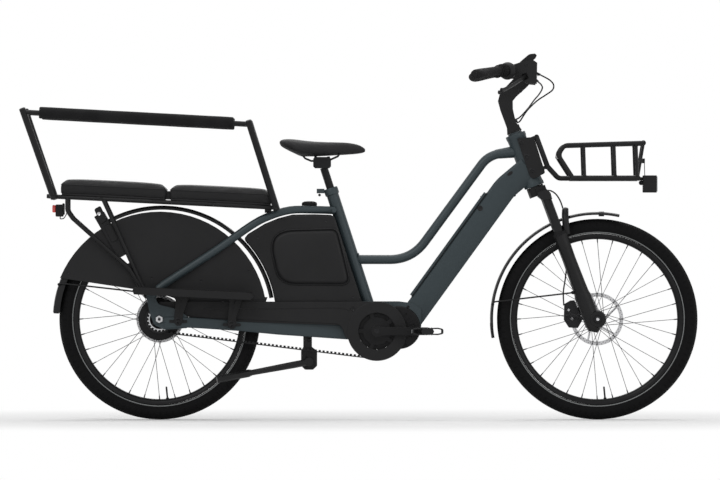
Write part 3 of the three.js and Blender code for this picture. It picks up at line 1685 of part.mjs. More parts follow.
const stemHalf = 21;
const stemReach = 140;
const stemTall = 190;
const stemShares = [
  [0.186, 0], [-0.186, 0], [-0.136, 0.116], [-0.136, 0.447], [-0.114, 0.621], [-0.014, 0.726], [0.157, 0.8],
  [0.5, 0.926], [0.743, 1], [0.929, 0.968], [1, 0.879], [0.943, 0.779], [0.836, 0.747], [0.65, 0.674],
  [0.343, 0.584], [0.221, 0.532], [0.157, 0.4], [0.129, 0.253], [0.129, 0.132],
];
const barRise = 167;
const stemLow = headHigh + headRingHeight + clearance;
const barW = 117;
const barU = stemLow + barRise;
const barClampRadius = 15.9;
const barRadius = 11.1;
const barClampHalf = 36;

function stem() {
  const outline = stemShares.map(([a, b]) => [a * stemReach, stemLow + b * stemTall]);
  const through = stemHalf + overrun;
  const bar = disc([barW, barU], barClampRadius + clearance, -through, through, fineSides);
  const steererRoom = circle(steererRadius + clearance, fineSides);
  const bore = layer(steererRoom, stemLow - overrun, steererTop + clearance);
  return cut(slab(outline, -stemHalf, stemHalf), bar, bore);
}

// The bar sweeps up and back from the clamp to the grips
const barBrakeW = 62;
const barBrakeSide = 140;
const barBrakeRise = 27;
const gripW = 22;
const gripSide = 200;
const gripRise = 44;
const gripEndW = -59;
const gripEndSide = 330;
const gripEndRise = 58;
const barPlaces = [
  [barW, 0, barU],
  [barW, barClampHalf, barU],
  [barBrakeW, barBrakeSide, barU + barBrakeRise],
  [gripW, gripSide, barU + gripRise],
  [gripEndW, gripEndSide, barU + gripEndRise],
];

// A place on the bar, by its distance to the side
function onBar(side) {
  const next = Math.max(barPlaces.findIndex(([, y]) => y >= side), 1);
  const [a, b] = [barPlaces[next - 1], barPlaces[next]];
  const share = (side - a[1]) / (b[1] - a[1]);
  return a.map((v, k) => v + (b[k] - v) * share);
}

const barTube = (radius) => tube(barPlaces, circle(radius, smallSides), upward);

function handlebar() {
  const clamp = disc([barW, barU], barClampRadius, -barClampHalf, barClampHalf, fineSides);
  return join(bothSides(barTube(barRadius)), clamp);
}

const gripRadius = 16;
const gripStart = 204;
const gripCap = 4;
// Along the grip, its height and its depth, wider under the palm
const gripShares = [
  [0, 1, 1.1], [0.04, 1, 1], [0.45, 1, 1], [0.72, 1.05, 1.35], [0.95, 1.05, 1.5], [2, 0.9, 1.2],
];

function grip() {
  const from = onBar(gripStart);
  const to = onBar(gripEndSide);
  const way = new THREE.Vector3(...to).sub(new THREE.Vector3(...from));
  const at = (share) => from.map((v, k) => v + way.getComponent(k) * share);
  const end = 1 + gripCap / way.length();
  const wide = gripShares.map(([, a, b]) => [a * gripRadius, b * gripRadius]);
  const places = gripShares.map(([share]) => at(Math.min(share, end)));
  const body = tube(places, circle(1, roundSides), upward, wide);
  const room = [at(-1), at(1 + clearance / way.length())];
  return cut(body, tube(room, circle(barRadius + clearance, smallSides), upward));
}

// Brake bodies: a clamp round the bar and a cylinder ahead of it
const brakeInner = 128;
const brakeOuter = 150;
const brakeBack = 46;
const brakeLong = 104;
const brakeTall = 48;
const brakeShares = [
  [0.404, -0.5], [0.75, -0.854], [1, 0.52], [0.904, 0.81], [0.596, 0.94], [0.154, 1], [0, 0.667],
  [0.04, 0.167], [0.25, 0.04],
];
const nozzleRadius = 4;
const nozzleLong = 9;
const hoseRadius = 2.5;

// Each hose runs from its nozzle to the stem's foot: shares of the way ahead, across and down
const hoseSide = (brakeInner + brakeOuter) / 2;
const hoseEndW = 18.8;
const hoseEndSide = 10;
const hoseRightW = 146;
const hoseRightDrop = 17.3;
const hoseRightEnd = 27.7;
const hoseLeftW = 137;
const hoseLeftDrop = 34.3;
const hoseLeftEnd = 39.7;
const hoseRightShares = [
  [-0, 0, -0], [-0.0865, 0, 0.0984], [-0.1887, 0.0078, 0.2295], [-0.2358, 0.0698, 0.377],
  [-0.1651, 0.2093, 0.5], [0.055, 0.4264, 0.5656], [0.3145, 0.6434, 0.6311], [0.6289, 0.876, 0.7787],
  [0.8805, 0.9845, 0.9672], [0.9434, 1, 1], [1, 1, 1],
];
const hoseLeftShares = [
  [-0, -0, -0], [-0.0508, -0, 0.1398], [-0.0423, 0.0388, 0.2688], [0.1015, 0.1628, 0.4301],
  [0.313, 0.3798, 0.5806], [0.533, 0.6434, 0.7634], [0.753, 0.8605, 0.914], [0.8714, 0.969, 0.9785],
  [0.9391, 1, 1], [1, 1, 1],
];

function hosePlaces(shares, side, w, drop, end) {
  const from = [w, side * hoseSide, barU - drop];
  const to = [hoseEndW, side * hoseEndSide, stemLow + end];
  return shares.map((share) => share.map((value, i) => from[i] + value * (to[i] - from[i])));
}

const hoseRightPlaces = hosePlaces(hoseRightShares, -1, hoseRightW, hoseRightDrop, hoseRightEnd);
const hoseLeftPlaces = hosePlaces(hoseLeftShares, 1, hoseLeftW, hoseLeftDrop, hoseLeftEnd);

function brakeBody(hose) {
  const outline = brakeShares.map(([a, b]) => [brakeBack + a * brakeLong, barU + b * brakeTall]);
  const start = new THREE.Vector3(...hose[0]);
  const way = start.clone().sub(new THREE.Vector3(...hose[1])).normalize();
  const near = start.clone().addScaledVector(way, clearance);
  const far = start.clone().addScaledVector(way, nozzleLong * 2);
  const nozzle = rod(near.toArray(), far.toArray(), nozzleRadius);
  const body = join(slab(outline, brakeInner, brakeOuter), hose[0][1] > 0 ? nozzle : mirrored(nozzle));
  const pocket = lever(leverRoom);
  return cut(body, barTube(barRadius + clearance), pocket);
}

// Levers: a blade that runs out under the grip from its pivot in the brake body
const leverStartW = 98;
const leverStartSide = 147;
const leverStartDrop = 4;
const leverLong = 141;
const leverSweep = 96;
const leverDrop = 18;
const leverWide = 5;
const leverTall = 8;
const leverCorner = 2;
const leverRoom = 3;
// Back towards the grip, out to the side and down
const leverShares = [[0, 0, 0], [0.188, 0.199, 0.222], [0.54, 0.553, 0.72], [0.875, 0.872, 1], [1, 1, 0.89]];

function lever(gap = 0) {
  const places = leverShares.map(([a, b, c]) => [
    leverStartW - a * leverSweep,
    leverStartSide + b * leverLong,
    barU - leverStartDrop - c * leverDrop,
  ]);
  // The pocket reaches past the pivot by its gap
  const [root, next] = places;
  const back = gap / Math.hypot(root[0] - next[0], root[1] - next[1], root[2] - next[2]);
  places[0] = root.map((value, i) => value + (value - next[i]) * back);
  return tube(places, chamfered(leverTall + gap, leverWide + gap, leverCorner), upward);
}

// The shifter turns on the bar between the brake body and the grip
const shifterStart = 154;
const shifterEnd = 200;
const shifterRadius = 18;

function twistShifter() {
  const sleeve = rod(onBar(shifterStart), onBar(shifterEnd - clearance * 2), shifterRadius, roundSides);
  return cut(mirrored(sleeve), mirrored(barTube(barRadius + turnGap)));
}

// Display above the stem's clamp
const displayBack = 92;
const displayLong = 68;
const displayTall = 62;
const displayShares = [
  [0, 0.484], [0.118, 0.387], [0.882, 0.677], [1, 0.806], [0.941, 0.935], [0.706, 1], [0.06, 0.742],
];
const displayHalf = 31;
const displayMountHalf = 10;
const displayMountBack = 18;
const displayMountFront = 12;
const displayMountLow = 11;
const displayMountHigh = 44;

function display() {
  const outline = displayShares.map(([a, b]) => [displayBack + a * displayLong, barU + b * displayTall]);
  const mount = block(
    [barW - displayMountBack, barW + displayMountFront],
    [-displayMountHalf, displayMountHalf],
    [barU + displayMountLow, barU + displayMountHigh],
  );
  return cut(join(slab(outline, -displayHalf, displayHalf), mount), stemRoom());
}

const stemRoom = () => slab(
  stemShares.map(([a, b]) => [a * stemReach, stemLow + b * stemTall + clearance]),
  -stemHalf - clearance,
  stemHalf + clearance,
);

const hose = (places) => tube(places, circle(hoseRadius, boltSides), upward);

// Sliding part of the fork: two legs joined by an arch, with the axle's bosses
const legTall = 314;
const legDeep = 24;
const legHalf = 20;
const legBoreLow = 180;
// Up the leg, its middle forward of the axis, its depth and its width
const legShares = [
  [-0.108, 0.59, 0.625, 0.9], [-0.07, 0.91, 1, 1], [0, 1.09, 1.083, 1], [0.268, 1.09, 1.146, 1],
  [0.35, 1.09, 1, 1], [0.7, 1.09, 0.896, 1], [0.924, 1.09, 0.958, 1], [1, 1.09, 1.05, 1],
];
const forkBossRadius = 29;
const bossOuter = 83;
const archTopW = 71;
const archTopU = 384;
const archWide = 7;
const archTall = 11;
const archCorner = 3;
const archShares = [[0.648, 1, 0.792], [0.845, 0.935, 0.927], [0.972, 0.613, 0.992], [1, 0, 1]];
const tabInner = 44;
const tabOuter = 56;
const tabBack = 42;
const tabTop = 80;
const tabShares = [[-1, 0.25], [-1, 0.9], [0.12, 1], [0.12, 0.15]];

function forkLowers() {
  const leg = tube(
    legShares.map(([a, b]) => [b * stanchionW, stanchionSide, a * legTall]),
    circle(1, smallSides),
    across,
    legShares.map(([, , deep, wide]) => [wide * legHalf, deep * legDeep]),
  );
  const bore = rod(
    [stanchionW, stanchionSide, legBoreLow],
    [stanchionW, stanchionSide, stanchionHigh],
    stanchionRadius + stanchionGap,
    roundSides,
  );
  const archPlaces = archShares.map(([w, y, u]) => [w * archTopW, y * stanchionSide, u * archTopU]);
  const arch = tube(archPlaces, chamfered(archTall, archWide, archCorner), forward);
  const boss = disc(axlePlace, forkBossRadius, legInner, bossOuter);
  const tab = slab(tabShares.map(([a, b]) => [a * tabBack, b * tabTop]), tabInner, tabOuter);
  const legs = cut(join(leg, boss, arch), bore);
  const axle = disc(axlePlace, axleRadius + clearance, -bossOuter - overrun, bossOuter + overrun);
  return cut(join(bothSides(legs), tab), axle);
}

const frontAxle = () => join(
  disc(axlePlace, axleRadius, -bossOuter - axleEnd, bossOuter + axleEnd),
  bothSides(disc(axlePlace, nutRadius, bossOuter + clearance, bossOuter + clearance + nutThick, roundSides)),
);

const frontFenderOuter = 361;
const frontFenderHalf = 35;
const frontFenderLip = 10;
const frontFenderSteps = 14;
const frontFenderFront = 57.5;
const frontFenderRear = 166;
const frontStayTurn = 154;
const flapStart = 163;
const flapEnd = 170;
const stayRodRadius = 2.5;
const stayFootW = 3;
const stayFootIn = 2;
const stayFootU = 112;

function frontFender() {
  const size = [frontFenderOuter, fenderWall, frontFenderLip, frontFenderHalf];
  const shell = fenderShell(axlePlace, ...size, frontFenderFront, frontFenderRear, frontFenderSteps);
  const flap = slab(
    band(axlePlace, frontFenderOuter - fenderWall, frontFenderOuter + fenderWall, flapStart, flapEnd, 2),
    -frontFenderHalf * 0.8,
    frontFenderHalf * 0.8,
  );
  const tab = block(
    [archTopW - archWide, archTopW + archWide],
    [-fenderTabHalf * half, fenderTabHalf * half],
    [frontFenderOuter - 2 * fenderWall, archTopU - archWide - 3 * clearance],
  );
  const from = polar(axlePlace, frontFenderOuter - fenderWall, frontStayTurn);
  const foot = [-stayFootW, stanchionSide - stayFootIn, stayFootU];
  const rods = rod(lift(from, frontFenderHalf - fenderWall * half), foot, stayRodRadius, boltSides);
  return join(shell, flap, tab, bothSides(rods));
}

const frontCaliperIn = 31;
const frontCaliperBack = 63;
const frontCaliperTop = 90;
const frontCaliperShares = [
  [-0.095, 0.133], [-0.095, 0.956], [-0.317, 1], [-0.683, 0.956], [-1, 0.4], [-0.889, 0.067],
  [-0.444, -0.067],
];

function frontCaliper() {
  const outline = frontCaliperShares.map(([a, b]) => [a * frontCaliperBack, b * frontCaliperTop]);
  return cut(
    slab(outline, frontCaliperIn, tabInner - clearance),
    disc(
      axlePlace,
      frontDiscRadius + caliperGap,
      frontDiscAt - caliperGap,
      frontDiscAt + discThickness + caliperGap,
      2 * wheelSides,
    ),
  );
}

addPiece("frame", frame(), framePaint);
addPiece("motor_unit", motorUnit(), satinBlack);
addPiece("battery_pack", batteryPack(), framePaint);
addPiece("frame_box", frameBox(), matteBlack);
addPiece("port_cap", portCap(), matteBlack);
addPiece("belt_guard", beltGuard(), matteBlack);
addPiece("drive_belt", driveBelt(), softRubber);
addPiece("crank_right", crankRight(), satinBlack);
addPiece("crank_left", crankLeft(), satinBlack);
addPiece("pedal_right", mirrored(pedal(pedalAt(1))), matteBlack);
addPiece("pedal_left", pedal(pedalAt(-1)), matteBlack);
addPiece("rear_tyre", tyre(rearAxleAt), softRubber);
addPiece("rear_rim", rim(rearAxleAt), satinBlack);
addPiece("rear_hub", rearHub(), satinBlack);
addPiece("rear_rotor", brakeDisc(rearAxleAt, rearDiscRadius, rearDiscAt), bareSteel);
addPiece("rear_sprocket", rearSprocket(), bareSteel);
addPiece("rear_axle", rearAxle(), darkSteel);
addPiece("rear_caliper", rearCaliper(), satinBlack);
addPiece("rear_fender", rearFender(), matteBlack);
addPiece("skirt_left", skirt(), matteBlack);
addPiece("skirt_right", mirrored(skirt()), matteBlack);
addPiece("ring_lock", ringLock(), matteBlack);
addPiece("lock_bolt", lockBolt(), darkSteel);
addPiece("rear_rack", rearRack(), satinBlack);
addPiece("rear_light", rearLight(), redLens);
addPiece("seat_pad_rear", seatPad(rearPadStart, rearPadLong), padVinyl);
addPiece("seat_pad_front", seatPad(frontPadStart, frontPadLong), padVinyl);
addPiece("handrail", handrail(), satinBlack);
addPiece("foam_sleeve_left", foamSleeve(), softRubber);
addPiece("foam_sleeve_right", mirrored(foamSleeve()), softRubber);
addPiece("footrest_left", footrest(), matteBlack);
addPiece("footrest_right", mirrored(footrest()), matteBlack);
addPiece("kickstand_bracket", kickstandBracket(), satinBlack);
addPiece("kickstand_legs", kickstandLegs(), satinBlack);
addPiece("seatpost", seatpost(), satinBlack);
addPiece("saddle_rails", saddleRails(), darkSteel);
addPiece("saddle", saddle(), padVinyl);
addPiece("front_rack", frontRack(), satinBlack);
addPiece("headlight", headlight(), clearLens);
addPiece("fork_crown", forkCrown(), satinBlack, steering);
addPiece("stem", stem(), satinBlack, steering);
addPiece("handlebar", handlebar(), satinBlack, steering);
addPiece("grip_left", grip(), softRubber, steering);
addPiece("grip_right", mirrored(grip()), softRubber, steering);
addPiece("brake_body_left", brakeBody(hoseLeftPlaces), satinBlack, steering);
addPiece("brake_body_right", mirrored(brakeBody(hoseRightPlaces)), satinBlack, steering);
addPiece("brake_lever_left", lever(), satinBlack, steering);
addPiece("brake_lever_right", mirrored(lever()), satinBlack, steering);
addPiece("twist_shifter", twistShifter(), softRubber, steering);
addPiece("display", display(), matteBlack, steering);
addPiece("brake_hose_left", hose(hoseLeftPlaces), softRubber, steering);
addPiece("brake_hose_right", hose(hoseRightPlaces), softRubber, steering);
addPiece("fork_lowers", forkLowers(), satinBlack, steering);
addPiece("front_axle", frontAxle(), darkSteel, steering);
addPiece("front_fender", frontFender(), matteBlack, steering);
addPiece("front_caliper", frontCaliper(), satinBlack, steering);
addPiece("front_tyre", tyre(wheelMiddle), softRubber, frontWheel);
addPiece("front_rim", rim(wheelMiddle), satinBlack, frontWheel);
addPiece("front_hub", frontHub(wheelMiddle), satinBlack, frontWheel);
addPiece("front_rotor", brakeDisc(wheelMiddle, frontDiscRadius, frontDiscAt), bareSteel, frontWheel);

// The origin goes to the middle of the underside
bike.updateMatrixWorld(true);
const extent = new THREE.Box3().setFromObject(bike, true);
const middleOf = extent.getCenter(new THREE.Vector3());
bike.position.set(-middleOf.x, -middleOf.y, -extent.min.z);

export default bike;
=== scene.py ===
"""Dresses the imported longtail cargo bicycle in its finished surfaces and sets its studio."""
from math import acos, atan2, cos, degrees, pi, radians, sin, tan

import bmesh
import bpy
from bpy.props import FloatProperty, FloatVectorProperty, IntProperty, PointerProperty
from mathutils import Matrix, Vector


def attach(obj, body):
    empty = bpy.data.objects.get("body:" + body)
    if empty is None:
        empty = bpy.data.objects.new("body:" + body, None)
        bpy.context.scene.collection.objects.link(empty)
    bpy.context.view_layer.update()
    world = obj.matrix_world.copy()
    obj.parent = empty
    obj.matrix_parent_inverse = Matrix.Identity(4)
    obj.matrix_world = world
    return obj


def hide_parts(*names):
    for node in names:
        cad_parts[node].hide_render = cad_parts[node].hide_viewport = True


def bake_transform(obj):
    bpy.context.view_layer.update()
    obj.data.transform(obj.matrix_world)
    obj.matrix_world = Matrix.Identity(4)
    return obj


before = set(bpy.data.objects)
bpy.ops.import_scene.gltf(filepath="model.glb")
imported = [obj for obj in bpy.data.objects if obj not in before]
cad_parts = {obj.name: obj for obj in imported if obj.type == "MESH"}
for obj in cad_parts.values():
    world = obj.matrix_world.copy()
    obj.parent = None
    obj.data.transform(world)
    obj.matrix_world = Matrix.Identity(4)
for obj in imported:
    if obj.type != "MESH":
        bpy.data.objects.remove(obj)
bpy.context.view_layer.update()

bl_info = {
    "name": "Longtail cargo bicycle",
    "version": (1, 0, 0),
    "blender": (4, 5, 0),
    "location": "View3D > Sidebar > Cargo bike",
    "description": "Finished surfaces for a longtail cargo bicycle, and its studio",
    "category": "Object",
}

AHEAD, UP = (1, 0, 0), (0, 0, 1)

# ---- places

AXLE_TO_MIDDLE = 672.064
OUT = Matrix.Scale(0.001, 4) @ Matrix.Translation((-AXLE_TO_MIDDLE, 0, 0))
REAR_AXLE = (0, 0, 338)
FRONT_AXLE = (1473, 0, 338)
CRANK = (731, 0, 298)
MOTOR = (806, 0, 311)
STEER_FOOT = (1432.67, 323.08)
STEER_LEAN = (-0.34694, 0.93789)
SEAT_LEAN = (-0.30902, 0.95106)
SEAT_WAY = (SEAT_LEAN[0], 0, SEAT_LEAN[1])


def head(w, y, u):
    """A point w ahead of the steering axis and u up along it."""
    return Vector((STEER_FOOT[0] + STEER_LEAN[0] * u + STEER_LEAN[1] * w, y,
                   STEER_FOOT[1] + STEER_LEAN[1] * u - STEER_LEAN[0] * w))


def mast(s, w=0, y=0):
    """A point s up the seat tube from the crank and w ahead of it."""
    return Vector((CRANK[0] + SEAT_LEAN[0] * s + SEAT_LEAN[1] * w, y,
                   CRANK[2] + SEAT_LEAN[1] * s - SEAT_LEAN[0] * w))


def turned_place(lean, foot):
    """The matrix from (ahead, side, up) beside a leaning axis to the side view."""
    made = Matrix(((lean[1], 0, lean[0]), (0, 1, 0), (-lean[0], 0, lean[1]))).to_4x4()
    made.translation = (foot[0], 0, foot[1])
    return made


HEAD = turned_place(STEER_LEAN, STEER_FOOT)
HEAD_AHEAD, HEAD_UP = (STEER_LEAN[1], 0, -STEER_LEAN[0]), (STEER_LEAN[0], 0, STEER_LEAN[1])


def round_by(centre, degrees_round, radius, y=0):
    """A point on a circle round centre in the side view."""
    a = radians(degrees_round)
    return Vector((centre[0] + radius * cos(a), y, centre[-1] + radius * sin(a)))


def axes(across, up, on, at):
    """The place with these three directions as its own, at a point."""
    made = Matrix((across, up, on)).transposed().to_4x4()
    made.translation = at
    return made


def real(point):
    """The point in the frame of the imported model, in metres."""
    return OUT @ Vector(point)


def rounded(points, radius, steps=6):
    """The path through the points with each inner corner rounded to the radius."""
    points = [Vector(p) for p in points]
    radii = radius if hasattr(radius, "__len__") else [radius] * (len(points) - 2)
    path = [points[0]]
    for a, b, c, r in zip(points, points[1:], points[2:], radii):
        back, on = (a - b), (c - b)
        half = back.angle(on) / 2
        if r <= 0 or half > pi / 2 - 0.01:
            path.append(b)
            continue
        reach = min(r / tan(half), back.length * 0.49, on.length * 0.49)
        start, end = b + back.normalized() * reach, b + on.normalized() * reach
        for i in range(steps + 1):
            t = i / steps
            path.append(start * (1 - t) ** 2 + b * 2 * t * (1 - t) + end * t ** 2)
    path.append(points[-1])
    return path


def eased(points, steps=6):
    """A smooth curve through the points."""
    points = [Vector(p) for p in points]
    ends = [points[0] * 2 - points[1], *points, points[-1] * 2 - points[-2]]
    path = []
    for a, b, c, d in zip(ends, ends[1:], ends[2:], ends[3:]):
        for i in range(steps):
            t = i / steps
            path.append((b * 2 + (c - a) * t + (a * 2 - b * 5 + c * 4 - d) * t ** 2
                         + (b * 3 - a - c * 3 + d) * t ** 3) * 0.5)
    return [*path, points[-1]]


def between(values, t):
    """The value at share t along a list of evenly spread values."""
    place = min(max(t, 0), 1) * (len(values) - 1)
    i = min(int(place), len(values) - 2)
    return values[i] + (values[i + 1] - values[i]) * (place - i)


def spread(rows, count):
    """The rows drawn out to that many evenly spread ones."""
    columns = [*zip(*rows)]
    return [tuple(between(c, i / (count - 1)) for c in columns) for i in range(count)]


# ---- shapes

DISSOLVED = 0.6
VERT, EDGE, FACE = bmesh.types.BMVert, bmesh.types.BMEdge, bmesh.types.BMFace


def only(geometry, kind):
    """What is of this kind among the geometry that an operator gives back."""
    return [g for g in geometry if isinstance(g, kind)]


def placed(name, shape):
    """An object of this name in the scene, with the shape as its mesh."""
    mesh = bpy.data.meshes.new(name)
    shape.to_mesh(mesh)
    shape.free()
    made = bpy.data.objects.new(name, mesh)
    bpy.context.scene.collection.objects.link(made)
    return made


class Shape:
    """A mesh in the making, in millimetres of the side view: x ahead, y left, z up."""

    def __init__(self, *nodes, angle=DISSOLVED):
        self.bm = bmesh.new()
        for node in nodes:
            self.bm.from_mesh(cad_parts[node].data)
        if nodes:
            bmesh.ops.transform(self.bm, matrix=OUT.inverted(), verts=self.bm.verts)
            bmesh.ops.remove_doubles(self.bm, verts=self.bm.verts, dist=0.003)
            bmesh.ops.dissolve_limit(self.bm, angle_limit=radians(angle),
                                     verts=self.bm.verts, edges=self.bm.edges)

    def since(self, before, place=None):
        """The vertices made after the earlier ones, laid at a place if one is given."""
        made = [v for v in self.bm.verts if v not in before]
        return made if place is None else self.moved(made, place)

    def moved(self, verts, matrix):
        bmesh.ops.transform(self.bm, matrix=matrix, verts=verts)
        return verts

    def ring(self, size, outline, corner, sides, place):
        """The edges of one section, round or drawn through an outline, laid at the place."""
        if outline is None:
            verts = bmesh.ops.create_circle(self.bm, cap_ends=False, segments=sides,
                                            radius=1)["verts"]
        else:
            verts = [self.bm.verts.new((a, b, 0)) for a, b in outline]
            face = self.bm.faces.new(verts)
            if corner:
                cut = bmesh.ops.bevel(self.bm, geom=verts, offset=corner, affect="VERTICES",
                                      segments=sides, profile=0.5, material=-1)
                face = max((f for v in cut["verts"] for f in v.link_faces),
                           key=lambda f: f.calc_area())
                verts = list(face.verts)
            bmesh.ops.delete(self.bm, geom=[face], context="FACES_ONLY")
        self.moved(verts, place @ Matrix.Diagonal((*size, 1, 1)))
        return list({e for v in verts for e in v.link_edges})

    def sweep(self, points, size, sides=20, outline=None, corner=0, side=(0, 1, 0),
              closed=False):
        """A tube along the points; size is a radius or (across, up) scales, one or one each."""
        before = set(self.bm.verts)
        points = [Vector(p) for p in points]
        sizes = size if isinstance(size, list) else [size] * len(points)
        sizes = [s if isinstance(s, tuple) else (s, s) for s in sizes]
        across = Vector(side)
        places = []
        for i, p in enumerate(points):
            if closed:
                on = points[(i + 1) % len(points)] - points[i - 1]
            else:
                on = points[min(i + 1, len(points) - 1)] - points[max(i - 1, 0)]
            on.normalize()
            across = across - on * across.dot(on)
            if across.length < 1e-4:
                across = on.orthogonal()
            across.normalize()
            places.append(axes(across, on.cross(across), on, p))
        edges = first = self.ring(sizes[0], outline, corner, sides, places[0])
        for i in range(1, len(points)):
            grown = bmesh.ops.extrude_edge_only(self.bm, edges=edges)["geom"]
            edges, verts = only(grown, EDGE), only(grown, VERT)
            scale = Matrix.Diagonal((sizes[i][0] / sizes[i - 1][0],
                                     sizes[i][1] / sizes[i - 1][1], 1, 1))
            self.moved(verts, places[i] @ scale @ places[i - 1].inverted())
        if closed:
            bmesh.ops.bridge_loops(self.bm, edges=first + edges)
        else:
            for loop in (first, edges):
                bmesh.ops.contextual_create(self.bm, geom=loop)
        return self.since(before)

    def turn(self, profile, centre=(0, 0, 0), steps=48, closed=True, angle=360, place=None):
        """A profile of (radius, side) points spun about the cross axis through centre."""
        before = set(self.bm.verts)
        verts = [self.bm.verts.new((centre[0] + r, centre[1] + y, centre[2])) for r, y in profile]
        edges = [self.bm.edges.new(pair) for pair in zip(verts, verts[1:])]
        if closed:
            edges.append(self.bm.edges.new((verts[-1], verts[0])))
        bmesh.ops.spin(self.bm, geom=verts + edges, cent=centre, axis=(0, 1, 0), dvec=(0, 0, 0),
                       angle=radians(angle), steps=steps, use_merge=angle == 360,
                       use_normal_flip=False, use_duplicate=False)
        bmesh.ops.remove_doubles(self.bm, verts=self.since(before), dist=0.001)
        return self.since(before, place)

    def plate(self, outline, low, high, corner=0, segments=4, place=None):
        """An outline of (x, z) points drawn from side low to side high."""
        before = set(self.bm.verts)
        face = self.bm.faces.new([self.bm.verts.new((x, low, z)) for x, z in outline])
        if corner:
            bmesh.ops.bevel(self.bm, geom=list(face.verts), offset=corner, affect="VERTICES",
                            segments=segments, profile=0.5, material=-1)
            face = max((f for f in self.bm.faces if set(f.verts) - before == set(f.verts)),
                       key=lambda f: f.calc_area())
        grown = bmesh.ops.extrude_face_region(self.bm, geom=[face])["geom"]
        bmesh.ops.translate(self.bm, vec=(0, high - low, 0), verts=only(grown, VERT))
        return self.since(before, place)

    def block(self, low, high, place=None):
        """A box between two corners, for the modifiers to round."""
        low, high = Vector(low), Vector(high)
        made = bmesh.ops.create_cube(self.bm, size=1)["verts"]
        stretch = Matrix.Translation((low + high) / 2) \
            @ Matrix.Diagonal((*(abs(s) for s in high - low), 1))
        return self.moved(made, stretch if place is None else place @ stretch)

    def twin(self, verts):
        """A copy of the geometry of these vertices."""
        chosen = set(verts)
        geom = [*chosen, *(e for e in self.bm.edges if chosen.issuperset(e.verts)),
                *(f for f in self.bm.faces if chosen.issuperset(f.verts))]
        return bmesh.ops.duplicate(self.bm, geom=geom)["geom"]

    def bolt(self, centre, radius, deep, out=(0, -1, 0), socket=0.5):
        """A round bolt head with a round sunk socket unless socket is 0, standing deep from centre
        along out.
        """
        before = set(self.bm.verts)
        made = bmesh.ops.create_circle(self.bm, cap_ends=True, segments=24, radius=radius)["verts"]
        face = made[0].link_faces[0]
        turn = Vector(out).to_track_quat("Z", "Y").to_matrix().to_4x4()
        turn.translation = centre
        self.moved(made, turn)
        if face.normal.dot(Vector(out)) < 0:
            face.normal_flip()
        out = Vector(out).normalized()
        for rise, share in ((deep * 0.75, 1.0), (deep * 0.25, 0.86)):
            grown = bmesh.ops.extrude_face_region(self.bm, geom=[face])["geom"]
            face = only(grown, FACE)[0]
            bmesh.ops.translate(self.bm, vec=out * rise, verts=face.verts)
            middle = face.calc_center_median()
            bmesh.ops.scale(self.bm, vec=(share,) * 3, verts=face.verts,
                            space=Matrix.Translation(-middle))
        if socket:
            bmesh.ops.inset_region(self.bm, faces=[face], thickness=radius * 0.86 * (1 - socket))
            bmesh.ops.translate(self.bm, vec=out * -deep * 0.6, verts=face.verts)
        made = self.since(before)
        faces = {f for v in made for f in v.link_faces}
        inner = [f for f in faces if all(len(e.link_faces) > 2 for e in f.edges)]
        bmesh.ops.delete(self.bm, geom=inner, context="FACES_ONLY")
        bmesh.ops.recalc_face_normals(self.bm, faces=[f for f in faces if f.is_valid])
        return made

    def screws(self, points):
        """Bolts on both sides, each at (x, side, z) with its radius, depth and socket."""
        for x, y, z, *size in points:
            for side in (-1, 1):
                self.bolt((x, side * y, z), *size[:2], (0, side, 0), *size[2:])

    def copies(self, verts, places):
        """The geometry of these vertices at each place, and no more where it was."""
        for place in places:
            self.moved(only(self.twin(verts), VERT), place)
        bmesh.ops.delete(self.bm, geom=verts, context="VERTS")

    def mirror(self, verts):
        """The other side's copy of these vertices, across the middle plane."""
        made = self.twin(verts)
        self.moved(only(made, VERT), Matrix.Diagonal((1, -1, 1, 1)))
        bmesh.ops.reverse_faces(self.bm, faces=only(made, FACE))

    def piece(self, name, surface, body="frame", bevel=0, segments=2, smooth=35, levels=0,
              replaces=(), facing=True, limit=30):
        """The finished piece, in place, with its surface and its body."""
        bmesh.ops.remove_doubles(self.bm, verts=self.bm.verts, dist=0.002)
        if facing:
            bmesh.ops.recalc_face_normals(self.bm, faces=self.bm.faces)
        bmesh.ops.transform(self.bm, matrix=OUT, verts=self.bm.verts)
        for face in self.bm.faces:
            face.smooth = True
        for edge in self.bm.edges:
            edge.smooth = edge.is_manifold and edge.calc_face_angle(0) < radians(smooth)
        made = placed(name, self.bm)
        if bevel:
            edge = made.modifiers.new("Edges", "BEVEL")
            edge.width, edge.segments = bevel / 1000, segments
            edge.limit_method, edge.angle_limit = "ANGLE", radians(limit)
            edge.harden_normals = False
            edge.miter_outer = "MITER_ARC"
        if levels:
            soft = made.modifiers.new("Smooth", "SUBSURF")
            soft.levels = soft.render_levels = levels
        made.data.materials.append(surface.material)
        if body:
            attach(made, body)
        if replaces:
            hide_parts(*replaces)
        return made


# ---- surfaces

class Value:
    """A socket of a material, on which sums and products build further nodes."""

    def __init__(self, surface, socket):
        self.surface, self.socket = surface, socket

    def math(self, operation, *others):
        return self.surface.node("Math", {"operation": operation}, dict(enumerate((self, *others))))

    def __add__(self, other):
        return self.math("ADD", other)

    def __sub__(self, other):
        return self.math("SUBTRACT", other)

    def __rsub__(self, other):
        return self.surface.node("Math", {"operation": "SUBTRACT"}, {0: other, 1: self})

    def __mul__(self, other):
        return self.math("MULTIPLY", other)

    def __pow__(self, other):
        return self.math("POWER", other)

    __radd__, __rmul__ = __add__, __mul__

    def over(self, low, high):
        """0 below low, 1 above high, eased between."""
        return self.surface.node("MapRange", {"interpolation_type": "SMOOTHSTEP"},
                                 {"Value": self, "From Min": low, "From Max": high})

    def lines(self, low, high):
        """The same step again from every whole number to the next."""
        return self.math("FRACT").over(low, high)


